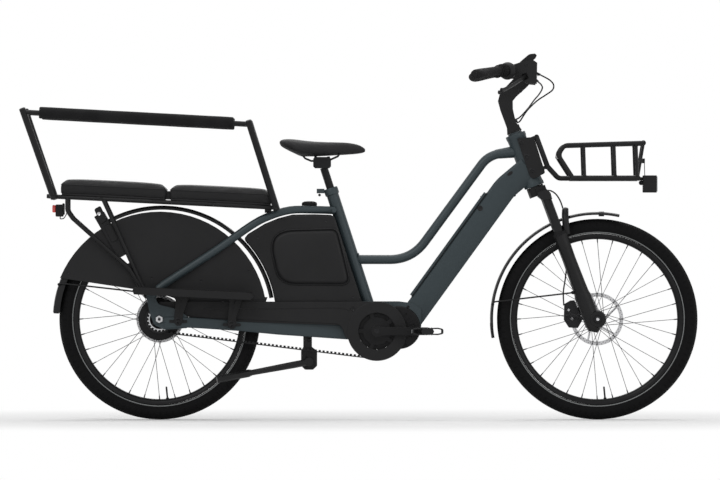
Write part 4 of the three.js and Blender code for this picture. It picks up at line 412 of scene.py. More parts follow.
class Graph:
    """The nodes of a material or of the world, with one way to add any of them."""

    def __init__(self, owner):
        owner.use_nodes = True
        self.tree = owner.node_tree

    def node(self, kind, settings=None, inputs=None, output=0):
        made = self.tree.nodes.new("ShaderNode" + kind)
        for key, value in (settings or {}).items():
            setattr(made, key, value)
        for key, value in (inputs or {}).items():
            if isinstance(value, Value):
                self.tree.links.new(value.socket, made.inputs[key])
            else:
                made.inputs[key].default_value = value
        return Value(self, made.outputs[output])

    def seen(self):
        """1 where the camera sees it, straight, mirrored or through glass."""
        rays = [self.node("LightPath", None, None, ray)
                for ray in ("Is Camera Ray", "Is Glossy Ray", "Is Transmission Ray")]
        return rays[0].math("MAXIMUM", rays[1]).math("MAXIMUM", rays[2])


class Surface(Graph):
    """A finish: one shader and the nodes before it."""

    def __init__(self, name, slot=None, shine=0.5, **constants):
        self.slot = slot
        self.material = bpy.data.materials.new(name)
        super().__init__(self.material)
        self.shader = self.tree.nodes["Principled BSDF"]
        self.shader.inputs["Specular IOR Level"].default_value = shine
        for key, value in constants.items():
            self.shader.inputs[key.replace("_", " ")].default_value = value

    def place(self, centre=None, scale=(1, 1, 1)):
        """Object coordinates in metres, measured from a centre."""
        return self.node("Mapping", {"vector_type": "TEXTURE"}, {
            "Vector": self.node("TexCoord", output="Object"),
            "Location": tuple(real(centre)) if centre else (0, 0, 0), "Scale": scale})

    def parts(self, place):
        return [self.node("SeparateXYZ", None, {0: place}, output=i) for i in range(3)]

    def noise(self, scale, place, detail):
        return self.node("TexNoise", None, {"Vector": place, "Scale": scale, "Detail": detail,
                                            "Roughness": 0.55})

    def cells(self, scale, place, feature="F1"):
        return self.node("TexVoronoi", {"feature": feature}, {"Vector": place, "Scale": scale})

    def blend(self, mask, low, high):
        """The colour low where the mask is 0 and high where it is 1."""
        return self.node("Mix", {"data_type": "RGBA"}, {0: mask, 6: low, 7: high}, output=2)

    def worn(self):
        """1 along outer edges, where a finish rubs thin."""
        return self.node("NewGeometry", None, None, output="Pointiness").over(0.53, 0.62)

    def feed(self, name, value):
        self.tree.links.new(value.socket, self.shader.inputs[name])
        return self

    def colour(self, value):
        self.feed("Base Color", value)

    def gloss(self, value):
        self.feed("Roughness", value)

    def relief(self, height, deep):
        """Bumps deep, in millimetres, where the height goes from 0 to 1."""
        return self.feed("Normal", self.node("Bump", None, {
            "Height": height, "Distance": deep / 1000, "Strength": 1.0}))


def tone(colour, by=1.0):
    return (*(min(1, c * by) for c in colour[:3]), 1)


def coated(name, slot, colour, rough, grain=900, deep=0.05, wear=0.25, mottle=0.12,
           metal=0.0):
    """A painted, powder-coated or moulded finish with its grain, mottling and rubbed edges."""
    s = Surface(name, slot, Metallic=metal, Coat_Roughness=0.25, shine=0.2)
    where = s.place()
    broad = s.noise(9, where, 3)
    fine = s.noise(grain, where, 2)
    edge = s.worn() * s.noise(60, where, 4).over(0.35, 0.7)
    base = s.blend(broad.over(0.3, 0.7), tone(colour, 1 - mottle), tone(colour, 1 + mottle))
    s.colour(s.blend(edge * wear, base, tone(colour, 2.2)))
    s.gloss(s.noise(26, where, 4).over(0.2, 0.8) * 0.14 + (rough - 0.07) - edge * 0.08)
    return s.relief(fine, deep)


class Finishes:
    """Every finish of the bicycle, made once from the colours in the panel."""

    def __init__(self, hues):
        ink, paint = hues.black, hues.paint
        self.paint = self.frame_paint(paint)
        self.powder = coated("black powder coat", "satin_black_metal", ink, 0.42, 1400, 0.04, 0.3)
        self.alloy = coated("black anodised alloy", "satin_black_metal", tone(ink, 1.1), 0.36, 2600,
                            0.012, 0.35, metal=0.35)
        self.moulded = coated("black moulded plastic", "black_plastic", tone(ink, 1.15), 0.5, 700,
                              0.06, 0.2)
        self.sheet = coated("black skirt sheet", "black_plastic", tone(ink, 1.25), 0.46, 420,
                            0.03, 0.15, 0.08)
        self.glossy = coated("black gloss plastic", "black_plastic", tone(ink, 0.7), 0.2, 500,
                             0.01, 0.1)
        self.dark = coated("dark hardened steel", "dark_steel", (0.022, 0.022, 0.023), 0.36, 1800,
                           0.02, 0.4, metal=0.85)
        self.steel = self.brushed()
        self.spoke = coated("black stainless wire", "dark_steel", (0.035, 0.035, 0.037), 0.3, 1200,
                            0.01, 0.2, metal=0.8)
        self.tyre = self.rubber_tyre(hues, REAR_AXLE, "rear tyre rubber")
        self.front_tyre = self.rubber_tyre(hues, FRONT_AXLE, "front tyre rubber")
        self.rubber = self.soft_rubber(ink)
        self.foam = self.foam_cover(ink)
        self.vinyl = self.pad_vinyl(ink)
        self.saddle = self.saddle_cover(ink)
        self.belt = self.belt_rubber(ink)
        self.hose = coated("hose sleeve", "soft_rubber", tone(ink, 0.8), 0.34, 2200, 0.02, 0.1)
        self.red = self.lens("red lens", "red_lens", hues.lens, 0.95)
        self.clear = self.lens("clear lens", "lamp", (0.55, 0.57, 0.58, 1), 0.35)
        self.glass = self.screen(ink)

    def frame_paint(self, paint):
        """Slate paint with a fine flake, broad mottling and edges rubbed thin."""
        s = Surface("slate frame paint", "frame_paint", Metallic=0.15, Coat_Weight=0.12,
                    Coat_Roughness=0.25, shine=0.3)
        where = s.place()
        flake = s.cells(2600, where).over(0.0, 0.5)
        broad = s.noise(6, where, 3).over(0.3, 0.7)
        base = s.blend(broad, tone(paint, 0.92), tone(paint, 1.08))
        base = s.blend(flake * 0.18, tone(paint, 1.5), base)
        edge = s.worn() * s.noise(70, where, 4).over(0.45, 0.75)
        s.colour(s.blend(edge * 0.25, base, tone(paint, 2.0)))
        s.gloss(s.noise(20, where, 4).over(0.2, 0.8) * 0.1 + 0.38 + flake * 0.05)
        return s.relief(s.noise(1500, where, 2), 0.02)

    def brushed(self):
        """Bare steel with drawn streaks."""
        s = Surface("brushed steel", "bare_steel", Metallic=1.0)
        streak = s.noise(220, s.place(scale=(1, 0.05, 1)), 5)
        s.colour(s.blend(streak, (0.42, 0.42, 0.43, 1), (0.62, 0.62, 0.63, 1)))
        s.gloss(streak * 0.2 + 0.22)
        return s.relief(streak, 0.01)

    def rubber_tyre(self, hues, axle, name):
        """Rubber with moulded lines on its walls, a grey reflective line and a cut tread whose
        grooves are painted darker as shade.
        """
        s = Surface(name, "tyre_rubber", shine=0.08)
        where = s.place(axle)
        x, y, z = s.parts(where)
        away = (x * x + z * z) ** 0.5
        round_ = z.math("ARCTAN2", x) * (1 / (2 * pi))
        side = y.math("ABSOLUTE")
        line = away.over(0.2905, 0.2909) * (1 - away.over(0.2937, 0.2941))
        tread = (side.over(0.024, 0.0265) * -1 + 1) * away.over(0.322, 0.325)
        blocks = (round_ * 96 + side * 26).lines(0.12, 0.2)
        shoulder = (round_ * 96 + 0.5 - side * 18).lines(0.2, 0.3)
        centre = (side * 110).lines(0.1, 0.25)
        flank = away.over(0.312, 0.314) * (1 - tread)
        cut = 1 - tread * (1 - blocks * centre) - flank * (1 - shoulder) * 0.5
        moulded = (away * 420).lines(0.4, 0.6) * (1 - away.over(0.303, 0.305)) * 0.1
        fine = s.noise(1500, where, 3)
        dust = s.noise(14, where, 5).over(0.4, 0.8)
        rubber = s.blend(dust * 0.5, tone(hues.rubber, 0.6), tone(hues.rubber, 0.9))
        # Painted shade: the tread's grooves are darkened to a third of the rubber's colour, and the
        # gaps between the shoulder knobs half as much; the same mask sinks them as bumps.
        rubber = s.blend(cut.math("MINIMUM", 1), tone(hues.rubber, 0.3), rubber)
        grid = s.cells(1800, where).over(0.2, 0.6)
        s.colour(s.blend(line * (0.85 - grid * 0.2), rubber, tone(hues.line)))
        s.gloss(0.72 - line * 0.3 + fine * 0.1)
        return s.relief(cut + moulded + fine * 0.05, 1.2)

    def soft_rubber(self, ink):
        """Grip rubber with a fine diamond pattern, its grooves painted darker as shade and its
        raised diamonds lighter as highlight.
        """
        s = Surface("soft grip rubber", "soft_rubber", shine=0.18)
        where = s.place()
        y, z = (part * 330 for part in s.parts(where)[1:])
        diamond_relief_and_shade = (y + z).lines(0.1, 0.3) * (y - z).lines(0.1, 0.3)
        fine = s.noise(1800, where, 3)
        # Painted shade and highlight: the grooves between the diamonds are darker and the raised
        # diamonds lighter, following the same pattern as the bumps.
        s.colour(s.blend(diamond_relief_and_shade, tone(ink, 0.7), tone(ink, 1.3)))
        s.gloss(0.66 + fine * 0.12)
        return s.relief(diamond_relief_and_shade + fine * 0.15, 0.35)

    def foam_cover(self, ink):
        """Closed-cell foam skin: small pits and a soft sheen."""
        s = Surface("foam sleeve", "soft_rubber", shine=0.15, Sheen_Weight=0.05,
                    Sheen_Roughness=0.5)
        where = s.place()
        pits = s.cells(620, where).over(0.12, 0.5)
        broad = s.noise(18, where, 4)
        s.colour(s.blend(broad.over(0.3, 0.7), tone(ink, 0.9), tone(ink, 1.3)))
        s.gloss(0.78 + pits * 0.08)
        return s.relief(pits + broad * 0.4, 0.3)

    def pad_vinyl(self, ink):
        """Coated seat cloth: small leather cells with folds between them, the folds painted darker
        as shade.
        """
        s = Surface("pad vinyl", "pad_vinyl", shine=0.22)
        where = s.place()
        warp = s.noise(120, where, 3)
        cells = s.cells(560, where, "DISTANCE_TO_EDGE").over(0.0, 0.09)
        pore = s.noise(1700, where, 3)
        broad = s.noise(11, where, 4)
        # Painted shade: the folds between the cells are darker and the cells' middles lighter,
        # following the same mask as the bumps, mixed with a random broad mottling.
        s.colour(s.blend(cells * 0.7 + broad * 0.3, tone(ink, 0.75), tone(ink, 1.25)))
        s.gloss(0.58 - cells * 0.12 + pore * 0.08)
        return s.relief(cells + pore * 0.2 + warp * 0.5, 0.22)

    def saddle_cover(self, ink):
        """Moulded saddle cloth: shallow dots over a broad mottling."""
        s = Surface("saddle cover", "pad_vinyl", shine=0.22)
        where = s.place()
        dots = s.cells(420, where).over(0.1, 0.45)
        pore = s.noise(2000, where, 3)
        broad = s.noise(14, where, 4)
        s.colour(s.blend(broad.over(0.3, 0.7), tone(ink, 1.5), tone(ink, 2.1)))
        s.gloss(0.52 + dots * 0.1 + pore * 0.05)
        return s.relief(dots + pore * 0.3, 0.18)

    def belt_rubber(self, ink):
        """Rubber ribbed along the belt."""
        s = Surface("drive belt rubber", "soft_rubber", shine=0.2)
        where = s.place()
        rib = (s.parts(where)[1] * 420).lines(0.2, 0.5)
        fine = s.noise(1600, where, 3)
        s.colour(s.blend(fine.over(0.3, 0.7), tone(ink, 0.7), tone(ink, 1.2)))
        s.gloss(0.6 + fine * 0.15)
        return s.relief(rib + fine * 0.3, 0.2)

    def lens(self, name, slot, colour, painted_hollow_lift):
        """A clear moulding over a prism pattern, its ridges painted lighter as glints and its
        hollows darker as shade.
        """
        s = Surface(name, slot, Coat_Weight=0.6, Coat_Roughness=0.05, shine=0.6)
        ridges = [((part * 260).math("FRACT") - 0.5).math("ABSOLUTE")
                  for part in s.parts(s.place())[1:]]
        prism = ridges[0] + ridges[1]
        # Painted glints and shade: the prism ridges are lighter and the hollows between them
        # darker; the fourth argument sets how light the hollows stay.
        s.colour(s.blend(prism, tone(colour, 0.45 * painted_hollow_lift + 0.4), tone(colour, 1.25)))
        s.gloss(prism * 0.12 + 0.12)
        return s.relief(prism, 0.5)

    def screen(self, ink):
        """Glossy glass with a faint smear."""
        s = Surface("display glass", "lamp", Coat_Weight=1.0, Coat_Roughness=0.03, shine=0.6)
        smear = s.noise(30, s.place(), 5)
        s.colour(s.blend(smear.over(0.3, 0.8), tone(ink, 0.35), tone(ink, 0.6)))
        s.gloss(smear.over(0.4, 0.9) * 0.12 + 0.06)
        return s.relief(smear, 0.005)


# ---- sizes and colours

def length(name, text, default, low=0.0, high=5000.0):
    """A size in millimetres of the side view."""
    return FloatProperty(name=name, description=text, default=default, min=low, max=high)


def hue(name, text, default):
    return FloatVectorProperty(name=name, description=text, default=default, subtype="COLOR",
                               size=4, min=0, max=1)


class BikeColours(bpy.types.PropertyGroup):
    paint: hue("Frame paint", "Slate paint on the frame, stays and battery cover",
               (0.020, 0.029, 0.033, 1))
    black: hue("Black", "Powder coat, plastics, foam and vinyl", (0.0085, 0.0085, 0.009, 1))
    rubber: hue("Rubber", "Tyres", (0.010, 0.010, 0.0105, 1))
    line: hue("Reflective line", "Line round each tyre wall", (0.30, 0.31, 0.31, 1))
    lens: hue("Rear lens", "Lens of the rear light", (0.60, 0.025, 0.015, 1))
    floor: hue("Floor", "Studio floor", (0.86, 0.86, 0.86, 1))


class BikeWheels(bpy.types.PropertyGroup):
    steps: IntProperty(name="Wheel steps", description="Faces round each tyre and rim",
                       default=144, min=48, max=256)
    spoke: length("Spoke radius", "Half the wire's thickness", 1.0, 0.5, 2)
    nipple: length("Nipple radius", "Half the spoke nut's thickness", 2.2, 1, 4)


class BikeSeats(bpy.types.PropertyGroup):
    seam: length("Piping radius", "Half the thickness of the piping round each pad", 1.8, 0.5, 4)
    swell: length("Swell", "How far the pads' cloth may move as it fills", 8.0, 0, 20)


class BikeStage(bpy.types.PropertyGroup):
    distance: FloatProperty(name="Camera distance", description="From the camera to the bicycle",
                            default=36.0, unit="LENGTH")
    width: FloatProperty(name="View width", description="Width of the view at the bicycle",
                         default=2.424, unit="LENGTH")
    ahead: FloatProperty(name="View middle ahead", description="Where the view is centred, ahead",
                         default=0.0023, unit="LENGTH")
    up: FloatProperty(name="View middle up", description="Where the view is centred, up",
                      default=0.6044, unit="LENGTH")
    lamps: FloatProperty(name="Lamps", description="Strength of the soft lamps", default=1.0)


class BikeProperties(bpy.types.PropertyGroup):
    colours: PointerProperty(type=BikeColours)
    wheels: PointerProperty(type=BikeWheels)
    seats: PointerProperty(type=BikeSeats)
    stage: PointerProperty(type=BikeStage)


MADE = {}


def finishes(context):
    """The finishes, made on the first call."""
    if "finishes" not in MADE:
        MADE["finishes"] = Finishes(context.scene.bike.colours)
    return MADE["finishes"]


# ---- stage

def studio_lamp(scene, name, place, aim, size, power):
    light = bpy.data.lights.new(name, "AREA")
    light.shape, light.size, light.energy = "DISK", size, power
    made = bpy.data.objects.new(name, light)
    scene.collection.objects.link(made)
    made.location = place
    made.rotation_euler = (Vector(aim) - Vector(place)).to_track_quat("-Z", "Y").to_euler()


def surround(scene):
    world = bpy.data.worlds.new("white surround")
    scene.world = world
    g = Graph(world)
    level = g.node("MapRange", None, {"Value": g.seen(), "To Min": 0.55, "To Max": 1.0})
    back = g.tree.nodes["Background"]
    back.inputs["Color"].default_value = (1, 1, 1, 1)
    g.tree.links.new(level.socket, back.inputs["Strength"])


def floor(scene):
    shape = bmesh.new()
    bmesh.ops.create_circle(shape, cap_ends=True, segments=96, radius=14)
    made = placed("floor", shape)
    made.location = (0, 0, -0.0005)
    s, pale = Surface("studio floor", None, Roughness=0.9), scene.bike.colours.floor
    s.colour(s.blend(s.noise(2.0, s.place(), 4).over(0.3, 0.7), tone(pale, 0.99), tone(pale)))
    white = s.node("Emission", None, {"Color": (1, 1, 1, 1), "Strength": 1.0})
    plain = Value(s, s.shader.outputs[0])
    x, y, z = s.parts(s.place())
    far = ((x * x + y * y) ** 0.5).over(1.2, 2.6)
    mixed = s.node("MixShader", None, {0: s.seen() * (0.05 + far * 0.95), 1: plain, 2: white})
    s.tree.links.new(mixed.socket, s.tree.nodes["Material Output"].inputs["Surface"])
    made.data.materials.append(s.material)


class BIKE_OT_stage(bpy.types.Operator):
    """Makes the camera, the pale floor, the white surround and the soft lamps"""
    bl_idname = "bike.stage"
    bl_label = "Stage"

    def execute(self, context):
        look, scene = context.scene.bike.stage, context.scene
        scene.view_settings.view_transform = "Standard"
        eye = bpy.data.cameras.new("camera")
        eye.sensor_width = 36
        eye.lens = 36 * look.distance / look.width
        eye.clip_end = 60
        camera = bpy.data.objects.new("camera", eye)
        scene.collection.objects.link(camera)
        camera.location = (look.ahead, -look.distance, look.up)
        camera.rotation_euler = (pi / 2, 0, 0)
        scene.camera = camera
        surround(scene)
        floor(scene)
        for name, place, aim, size, power in (
                ("key lamp", (-2.2, -4.5, 4.2), (0, 0, 0.5), 3.2, 75),
                ("fill lamp", (3.6, -3.8, 2.2), (0.2, 0, 0.6), 2.6, 26),
                ("top lamp", (0.0, 0.6, 4.6), (0, 0, 0.5), 3.6, 60),
                ("back lamp", (0.5, 4.5, 2.8), (0, 0, 0.6), 3.0, 40)):
            studio_lamp(scene, name, place, aim, size, power * look.lamps)
        return {"FINISHED"}


# ---- wheels

SPOKES = 32
NUT_RADIUS = 270
SPOKE_FANS = {"rear": (63, 31, 20), "front": (26, 29, 60)}
AXLES = {"rear": REAR_AXLE, "front": FRONT_AXLE}
FENDER_MIDDLE = (8, 0, 338)


def both_sides(half):
    """A profile from one side's, which starts or ends at the middle."""
    other = [(r, -y) for r, y in reversed(half) if y]
    return [*other, *half] if half[0][1] == 0 else [*half, *other]


def tyre(end, body, axle, size, surface):
    """A round casing on its beads, with a flatter crown."""
    wall = [(288.6, 17.0), (290.6, 19.2), (294.6, 22.0), (300.5, 26.2), (307.5, 28.9),
            (314.5, 29.6), (321.0, 28.3), (326.6, 25.2), (331.4, 20.0), (334.8, 13.4),
            (337.1, 6.4)]
    inner = [(333.2, 0), (330.0, 14.5), (320.5, 24.8), (308.0, 25.6), (297.0, 21.4), (290.2, 15.6)]
    profile = [(337.7, 0), *reversed(wall), (288.6, 14.6), *reversed(inner)]
    other = [(r, -y) for r, y in reversed(profile) if y]
    shape = Shape()
    shape.turn([*profile, *other], axle, size.steps)
    shape.piece(end + "_tyre_casing", surface, body, smooth=50, replaces=[end + "_tyre"])


def rim(end, body, axle, size, f):
    """A hollow hoop with a sunk tyre bed, and the valve standing out of it."""
    half = [(288.1, 19), (288.1, 16.6), (286.2, 16.0), (276.0, 15.8), (274.0, 14.0),
            (273.6, 5.0), (272.4, 0)]
    under = [(268.9, 0), (269.2, 9.5), (272.6, 15.5), (279.5, 19.0)]
    shape = Shape()
    shape.turn([*both_sides(half), *both_sides(under)], axle, size.steps)
    valve, tip = (round_by(axle, -90 + 180 / SPOKES, r) for r in (269, 232))
    shape.sweep([valve, tip], 3.0, 12)
    on = (tip - valve).normalized()
    shape.sweep([tip, tip + on * 4], [3.4, 2.0], 12)
    shape.sweep([valve, valve + on * 3.5], 5.2, 12)
    shape.piece(end + "_rim_hoop", f.alloy, body, smooth=40, replaces=[end + "_rim"])


def spokes(end, body, axle, size, f):
    """Crossing wires from the hub's flanges to nuts in the rim."""
    flange, half, lace = SPOKE_FANS[end]
    shape = Shape()
    for i in range(SPOKES):
        side = 1 if i % 2 else -1
        turn = 360 / SPOKES * i
        lean = lace * (1 if (i // 2) % 2 else -1)
        root = round_by(axle, turn + lean * 0.9, flange, side * half)
        elbow = root + Vector((0, -side * 5, 0))
        tip = round_by(axle, turn, NUT_RADIUS, side * 4)
        way = (tip - root).normalized()
        shape.sweep([elbow, root, root + way * 6, tip], size.spoke, 6)
        shape.sweep([tip - way * 13, tip - way, tip + way * 2],
                    [size.nipple * 0.8, size.nipple, size.nipple * 1.25], 6)
        shape.sweep([root + Vector((0, side * 0.4, 0)), root + Vector((0, side * 1.8, 0))],
                    [2.2, 1.4], 6)
    shape.piece(end + "_spokes", f.spoke, body, smooth=60)


def disc(end, body, axle, f):
    """The brake disc's drilled holes, drawn as dark gloss plugs standing for the shade seen through
    them, and the bolts on its carrier.
    """
    radius, low, high, count = (80, 58, 60, 6) if end == "rear" else (89, 36, 38, 7)
    holes, bolts = Shape(), Shape()
    # Painted shade: each drilled hole is filled by a dark gloss plug in place of the shade that
    # shows through it.
    for i in range(36):
        for ring, shift in ((radius - 3.6, 0), (radius - 9.0, 5)):
            at = round_by(axle, i * 10 + shift, ring, (low + high) / 2)
            plug = bmesh.ops.create_cone(holes.bm, cap_ends=True, segments=8, radius1=1.5,
                                         radius2=1.5, depth=high - low + 0.06)["verts"]
            holes.moved(plug, Matrix.Translation(at) @ Matrix.Rotation(pi / 2, 4, "X"))
    for i in range(count):
        bolts.bolt(round_by(axle, 360 / count * i + 15, 22, high), 3.4, 2.4, (0, 1, 0))
    holes.piece(end + "_disc_hole_shade_plugs", f.glossy, body)
    bolts.piece(end + "_disc_bolts", f.dark, body, smooth=30)


def rear_hub(f):
    """The wide drum of the rear hub with its spoke flanges and ends."""
    profile = [(10.4, -67.4), (14, -67.4), (14.6, -66.6), (16.9, -57.8), (16.9, -44.5),
               (40, -40.6), (60, -39.2), (68.6, -36.8), (70.9, -34.4), (70.9, -28.6),
               (67.5, -26.6), (66.2, -22), (66.2, 22), (67.5, 26.6), (70.9, 28.6),
               (70.9, 34.8), (68.4, 37.4), (60, 41), (38, 44.6), (29.6, 45.4), (29.6, 57.2),
               (26, 57.6), (17.5, 57.8), (17.5, 60.2), (10.4, 67.4)]
    shape = Shape()
    shape.turn([*profile, (7.2, 67.4), (7.2, -67.4)], REAR_AXLE, 96)
    shape.piece("rear_hub_drum", f.alloy, "rear_wheel", smooth=28, replaces=["rear_hub"])
    studs = Shape()
    for side in (-1, 1):
        for i in range(SPOKES // 2):
            at = round_by(REAR_AXLE, i * 22.5 + 11.25 * side, 49, side * 41.2)
            studs.bolt(at, 4.2, 0.9, (0, side, 0), 0)
    studs.piece("rear_hub_studs", f.alloy, "rear_wheel", smooth=30)


def front_hub(f):
    """The narrow barrel of the front hub with its flanges and ends."""
    profile = [(9, -41.4), (11.8, -41.4), (11.8, -38), (15, -34), (29.6, -33), (29.9, -31.4),
               (29.9, -26.6), (29, -25.2), (17, -24.6), (14.9, -20), (14.4, 0), (14.9, 20),
               (17, 24.6), (29, 25.2), (29.9, 26.6), (29.9, 31.4), (29, 33), (19.9, 33.6),
               (19.9, 35.6), (17.6, 35.8), (17.6, 38.2), (11.8, 38.8), (11.8, 41.4), (9, 41.4)]
    shape = Shape()
    shape.turn([*profile, (7.2, 41.4), (7.2, -41.4)], FRONT_AXLE, 72)
    shape.piece("front_hub_barrel", f.alloy, "front_wheel", smooth=28, replaces=["front_hub"])


class BIKE_OT_wheels(bpy.types.Operator):
    """Makes both wheels: tyres, rims, spokes with their nuts, hubs and the discs' bolts"""
    bl_idname = "bike.wheels"
    bl_label = "Wheels"

    def execute(self, context):
        size, f = context.scene.bike.wheels, finishes(context)
        for end, axle in AXLES.items():
            body = end + "_wheel"
            tyre(end, body, axle, size, f.tyre if end == "rear" else f.front_tyre)
            rim(end, body, axle, size, f)
            spokes(end, body, axle, size, f)
            disc(end, body, axle, f)
        rear_hub(f)
        front_hub(f)
        return {"FINISHED"}


# ---- frame

STAY_SIDE = 73
BOX = [(-1, -1), (1, -1), (1, 1), (-1, 1)]
DOWN_FOOT, DOWN_KNEE, DOWN_HEAD = (822, 0, 316), (1160, 0, 783), (1238.4, 0, 848.3)
DOWN_SECTION = [(-36, -25), (-24, -45), (24, -45), (36, -25), (36, 28), (30, 36), (-30, 36),
                (-36, 28)]
DROPOUT = [(-0.32, 0.62), (-0.14, 0.73), (-0.06, 0.465), (0, 0.38), (0.44, 0.26), (0.68, 0.07),
           (0.68, -0.23), (0.13, -0.27), (-0.085, -0.17), (-0.135, -0.125), (-0.235, 0.185)]
CHAINSTAY = [(0, 0, 0.79, 1), (0.116, -0.05, 0.66, 1), (0.396, 0.33, 0.65, 0.71),
             (0.6, 0.565, 0.85, 0.63), (0.757, 0.72, 0.93, 0.55), (0.914, 0.92, 0.96, 0.45),
             (1, 1, 1, 0.42)]
STAY = [(0, 0.986, 0), (0.05, 0.96, 0.114), (0.136, 0.85, 0.239), (0.348, 0.785, 0.54),
        (0.527, 0.753, 0.813), (0.625, 0.685, 0.927), (0.744, 0.55, 1.003), (0.873, 0.41, 1.007),
        (0.986, 0.27, 1)]
RACK_BOLTS = [(0.24 * 33, 649), (0.21 * 33, 599.2), (0.18 * 33, 544.6)]


def on_down_tube(s, u, y=0):
    """A point s along the down tube from its foot and u above its middle line."""
    foot, knee = Vector(DOWN_FOOT), Vector(DOWN_KNEE)
    way = (knee - foot).normalized()
    return foot + way * s + Vector((-way.z * u, y, way.x * u))


def down_tube(shape):
    shape.sweep(rounded([DOWN_FOOT, DOWN_KNEE, DOWN_HEAD], 150, 8), 1, outline=DOWN_SECTION)


def top_tube(shape):
    start, end = mast(253), head(0, 0, 620)
    knee = end + Vector((-111, 0, -15))
    route = rounded([start, start + Vector((196, 0, 0)), knee, end], [146, 94], 10)
    shape.sweep(route, [15.5] * (len(route) - 1) + [18.5], 28)
    shape.sweep([knee + Vector((25, 0, 3.4)), end], [15.6, 22], 28)
    tube_weld(shape, start + Vector((19, 0, 4)), (1, 0, 0.2), 16.4)


def tube_weld(shape, centre, way, radius):
    """A round bead where two tubes meet."""
    turn = Vector(way).to_track_quat("Z", "Y").to_matrix()
    points = [Vector(centre) + turn @ Vector((radius * cos(a), radius * sin(a), 0))
              for a in (2 * pi * i / 30 for i in range(30))]
    shape.sweep(points, [2.4 + 0.5 * (i % 2) for i in range(30)], 8, side=way, closed=True)


def seat_tube(shape):
    shape.sweep([mast(20), mast(484)], 20.5, 36)
    shape.sweep([mast(482), mast(484), mast(503), mast(506), mast(506)],
                [22, 24, 24, 22.5, 14.2], 36)
    top = mast(506)
    shape.block((top.x - 46, -12, top.z - 17.6), (top.x - 20, -2.2, top.z - 2.4))
    shape.block((top.x - 46, 2.2, top.z - 17.6), (top.x - 20, 12, top.z - 2.4))
    tube_weld(shape, mast(96), SEAT_WAY, 21)


def head_tube(shape):
    lip = [(33, 492), (34.5, 493), (34.5, 503), (33, 507), (31.5, 530), (31.5, 640), (33, 664),
           (34.5, 668), (34.5, 678), (33, 680), (24, 681), (24, 686), (16, 686)]
    shape.sweep([head(0, 0, u) for _, u in lip], [r for r, _ in lip], 40)
    for w, u in RACK_BOLTS:
        for side in (-1, 1):
            at = head(w, 0, u)
            shape.sweep([at, at + Vector((0, side * 36, 0))], 9, 20, side=AHEAD)


def bracket(shape):
    """The hollow seat round the drive unit."""
    outline = [(640, 268), (640, 398), (806, 398), (850.6, 392), (880.3, 372), (880.3, 311.3),
               (866, 311.3), (862, 335), (846, 357), (826, 367), (800, 368), (770, 358),
               (731, 358.6), (700, 350), (678, 327), (671.5, 298), (676, 268)]
    shape.plate(outline, -40, 40, 3, 3)


def rear_tubes(shape):
    """The curved stays, the chainstays and the dropouts, with the stand's bridge."""
    foot = Vector((-25.2, 0, 415.4))
    seat = mast(427)
    points = [foot + Vector((a * (seat.x - foot.x), b * STAY_SIDE, c * (seat.z - foot.z)))
              for a, b, c in STAY]
    verts = shape.sweep(eased(points, 4), (10, 13), 28)
    rear, front = Vector((18, 0, 326)), Vector((655, 0, 295))
    points = [Vector((rear.x + a * (front.x - rear.x), side * STAY_SIDE,
                      rear.z + fall * (front.z - rear.z))) for a, fall, _, side in CHAINSTAY]
    path = eased(points, 4)
    depths = spread([(c[2] * 26.5,) for c in CHAINSTAY], len(path))
    verts += shape.sweep(path, [(8, d) for d, in depths], 4, outline=BOX, corner=0.35)
    outline = [(a * 140, 338 + b * 129) for a, b in DROPOUT]
    verts += shape.plate(outline, 68.4, 77.6, 5, 3)
    shape.mirror(verts)
    shape.block((478.5, -37, 284), (517.5, 37, 301))
    shape.sweep([(588, -60, 705), (588, 60, 705)], 8, 16, side=UP)


def battery(f):
    """The battery's painted cover, sunk beside a dark seam, with its key lock."""
    cover, seam, lock, handle = Shape(), Shape(), Shape(), Shape()
    cover.sweep([on_down_tube(s, 40.8) for s in (97, 523)], (34, 4.2), 4, outline=BOX, corner=0.2)
    cover.piece("battery_cover", f.paint, bevel=1.4, replaces=["battery_pack"])
    seam.sweep([on_down_tube(s, 36.2) for s in (94, 526)], (35.4, 1.1), outline=BOX)
    seam.sweep([on_down_tube(s, 12) for s in (104, 516)], (29, 22), outline=BOX)
    seam.piece("battery_seam", f.moulded, bevel=0.3)
    for side in (-1, 1):
        lock.bolt(on_down_tube(470, 24, side * 35.2), 9, 3, (0, side, 0), 0.45)
    lock.piece("battery_key_lock", f.moulded, smooth=30)
    handle.sweep([on_down_tube(505, 44.6, y) for y in (-14, 14)], (3, 1.6), outline=BOX,
                 corner=0.5, side=AHEAD)
    handle.piece("battery_finger_pull", f.moulded, bevel=0.5)


def fittings(f):
    """Bolts, cable ports and the seat clamp's screw."""
    bolts, ports = Shape(), Shape()
    bolts.screws([(x, y, z, r, r * 0.55) for x, y, z, r in (
        (64, 88.6, 331, 8), (244, 88.6, 321, 8), (38.7, 70, 469.7, 4.2), (3, 74, 456, 4.2),
        (-12, 76, 444, 4.2), (862, 40, 339, 5), (660, 40, 372, 4.5), (836, 40, 380, 4.5))])
    for side in (-1, 1):
        ports.sweep([(1179, side * 35, 828), (1179, side * 37.2, 828)], (10.5, 5.5), 24,
                    side=(0.8, 0, 0.6))
    for s in (574, 584.8):
        ports.sweep([on_down_tube(s, -44, y) for y in (-9, 9)], 5, 16, side=AHEAD)
    clamp = mast(495, -42)
    bolts.sweep([clamp + Vector((0, y, 0)) for y in (-17, -12, 12, 17)],
                [4.6, 4.6, 2.6, 4.6], 16, side=AHEAD)
    bolts.piece("frame_bolts", f.dark, smooth=30)
    ports.piece("cable_ports", f.moulded, bevel=0.6, smooth=30)


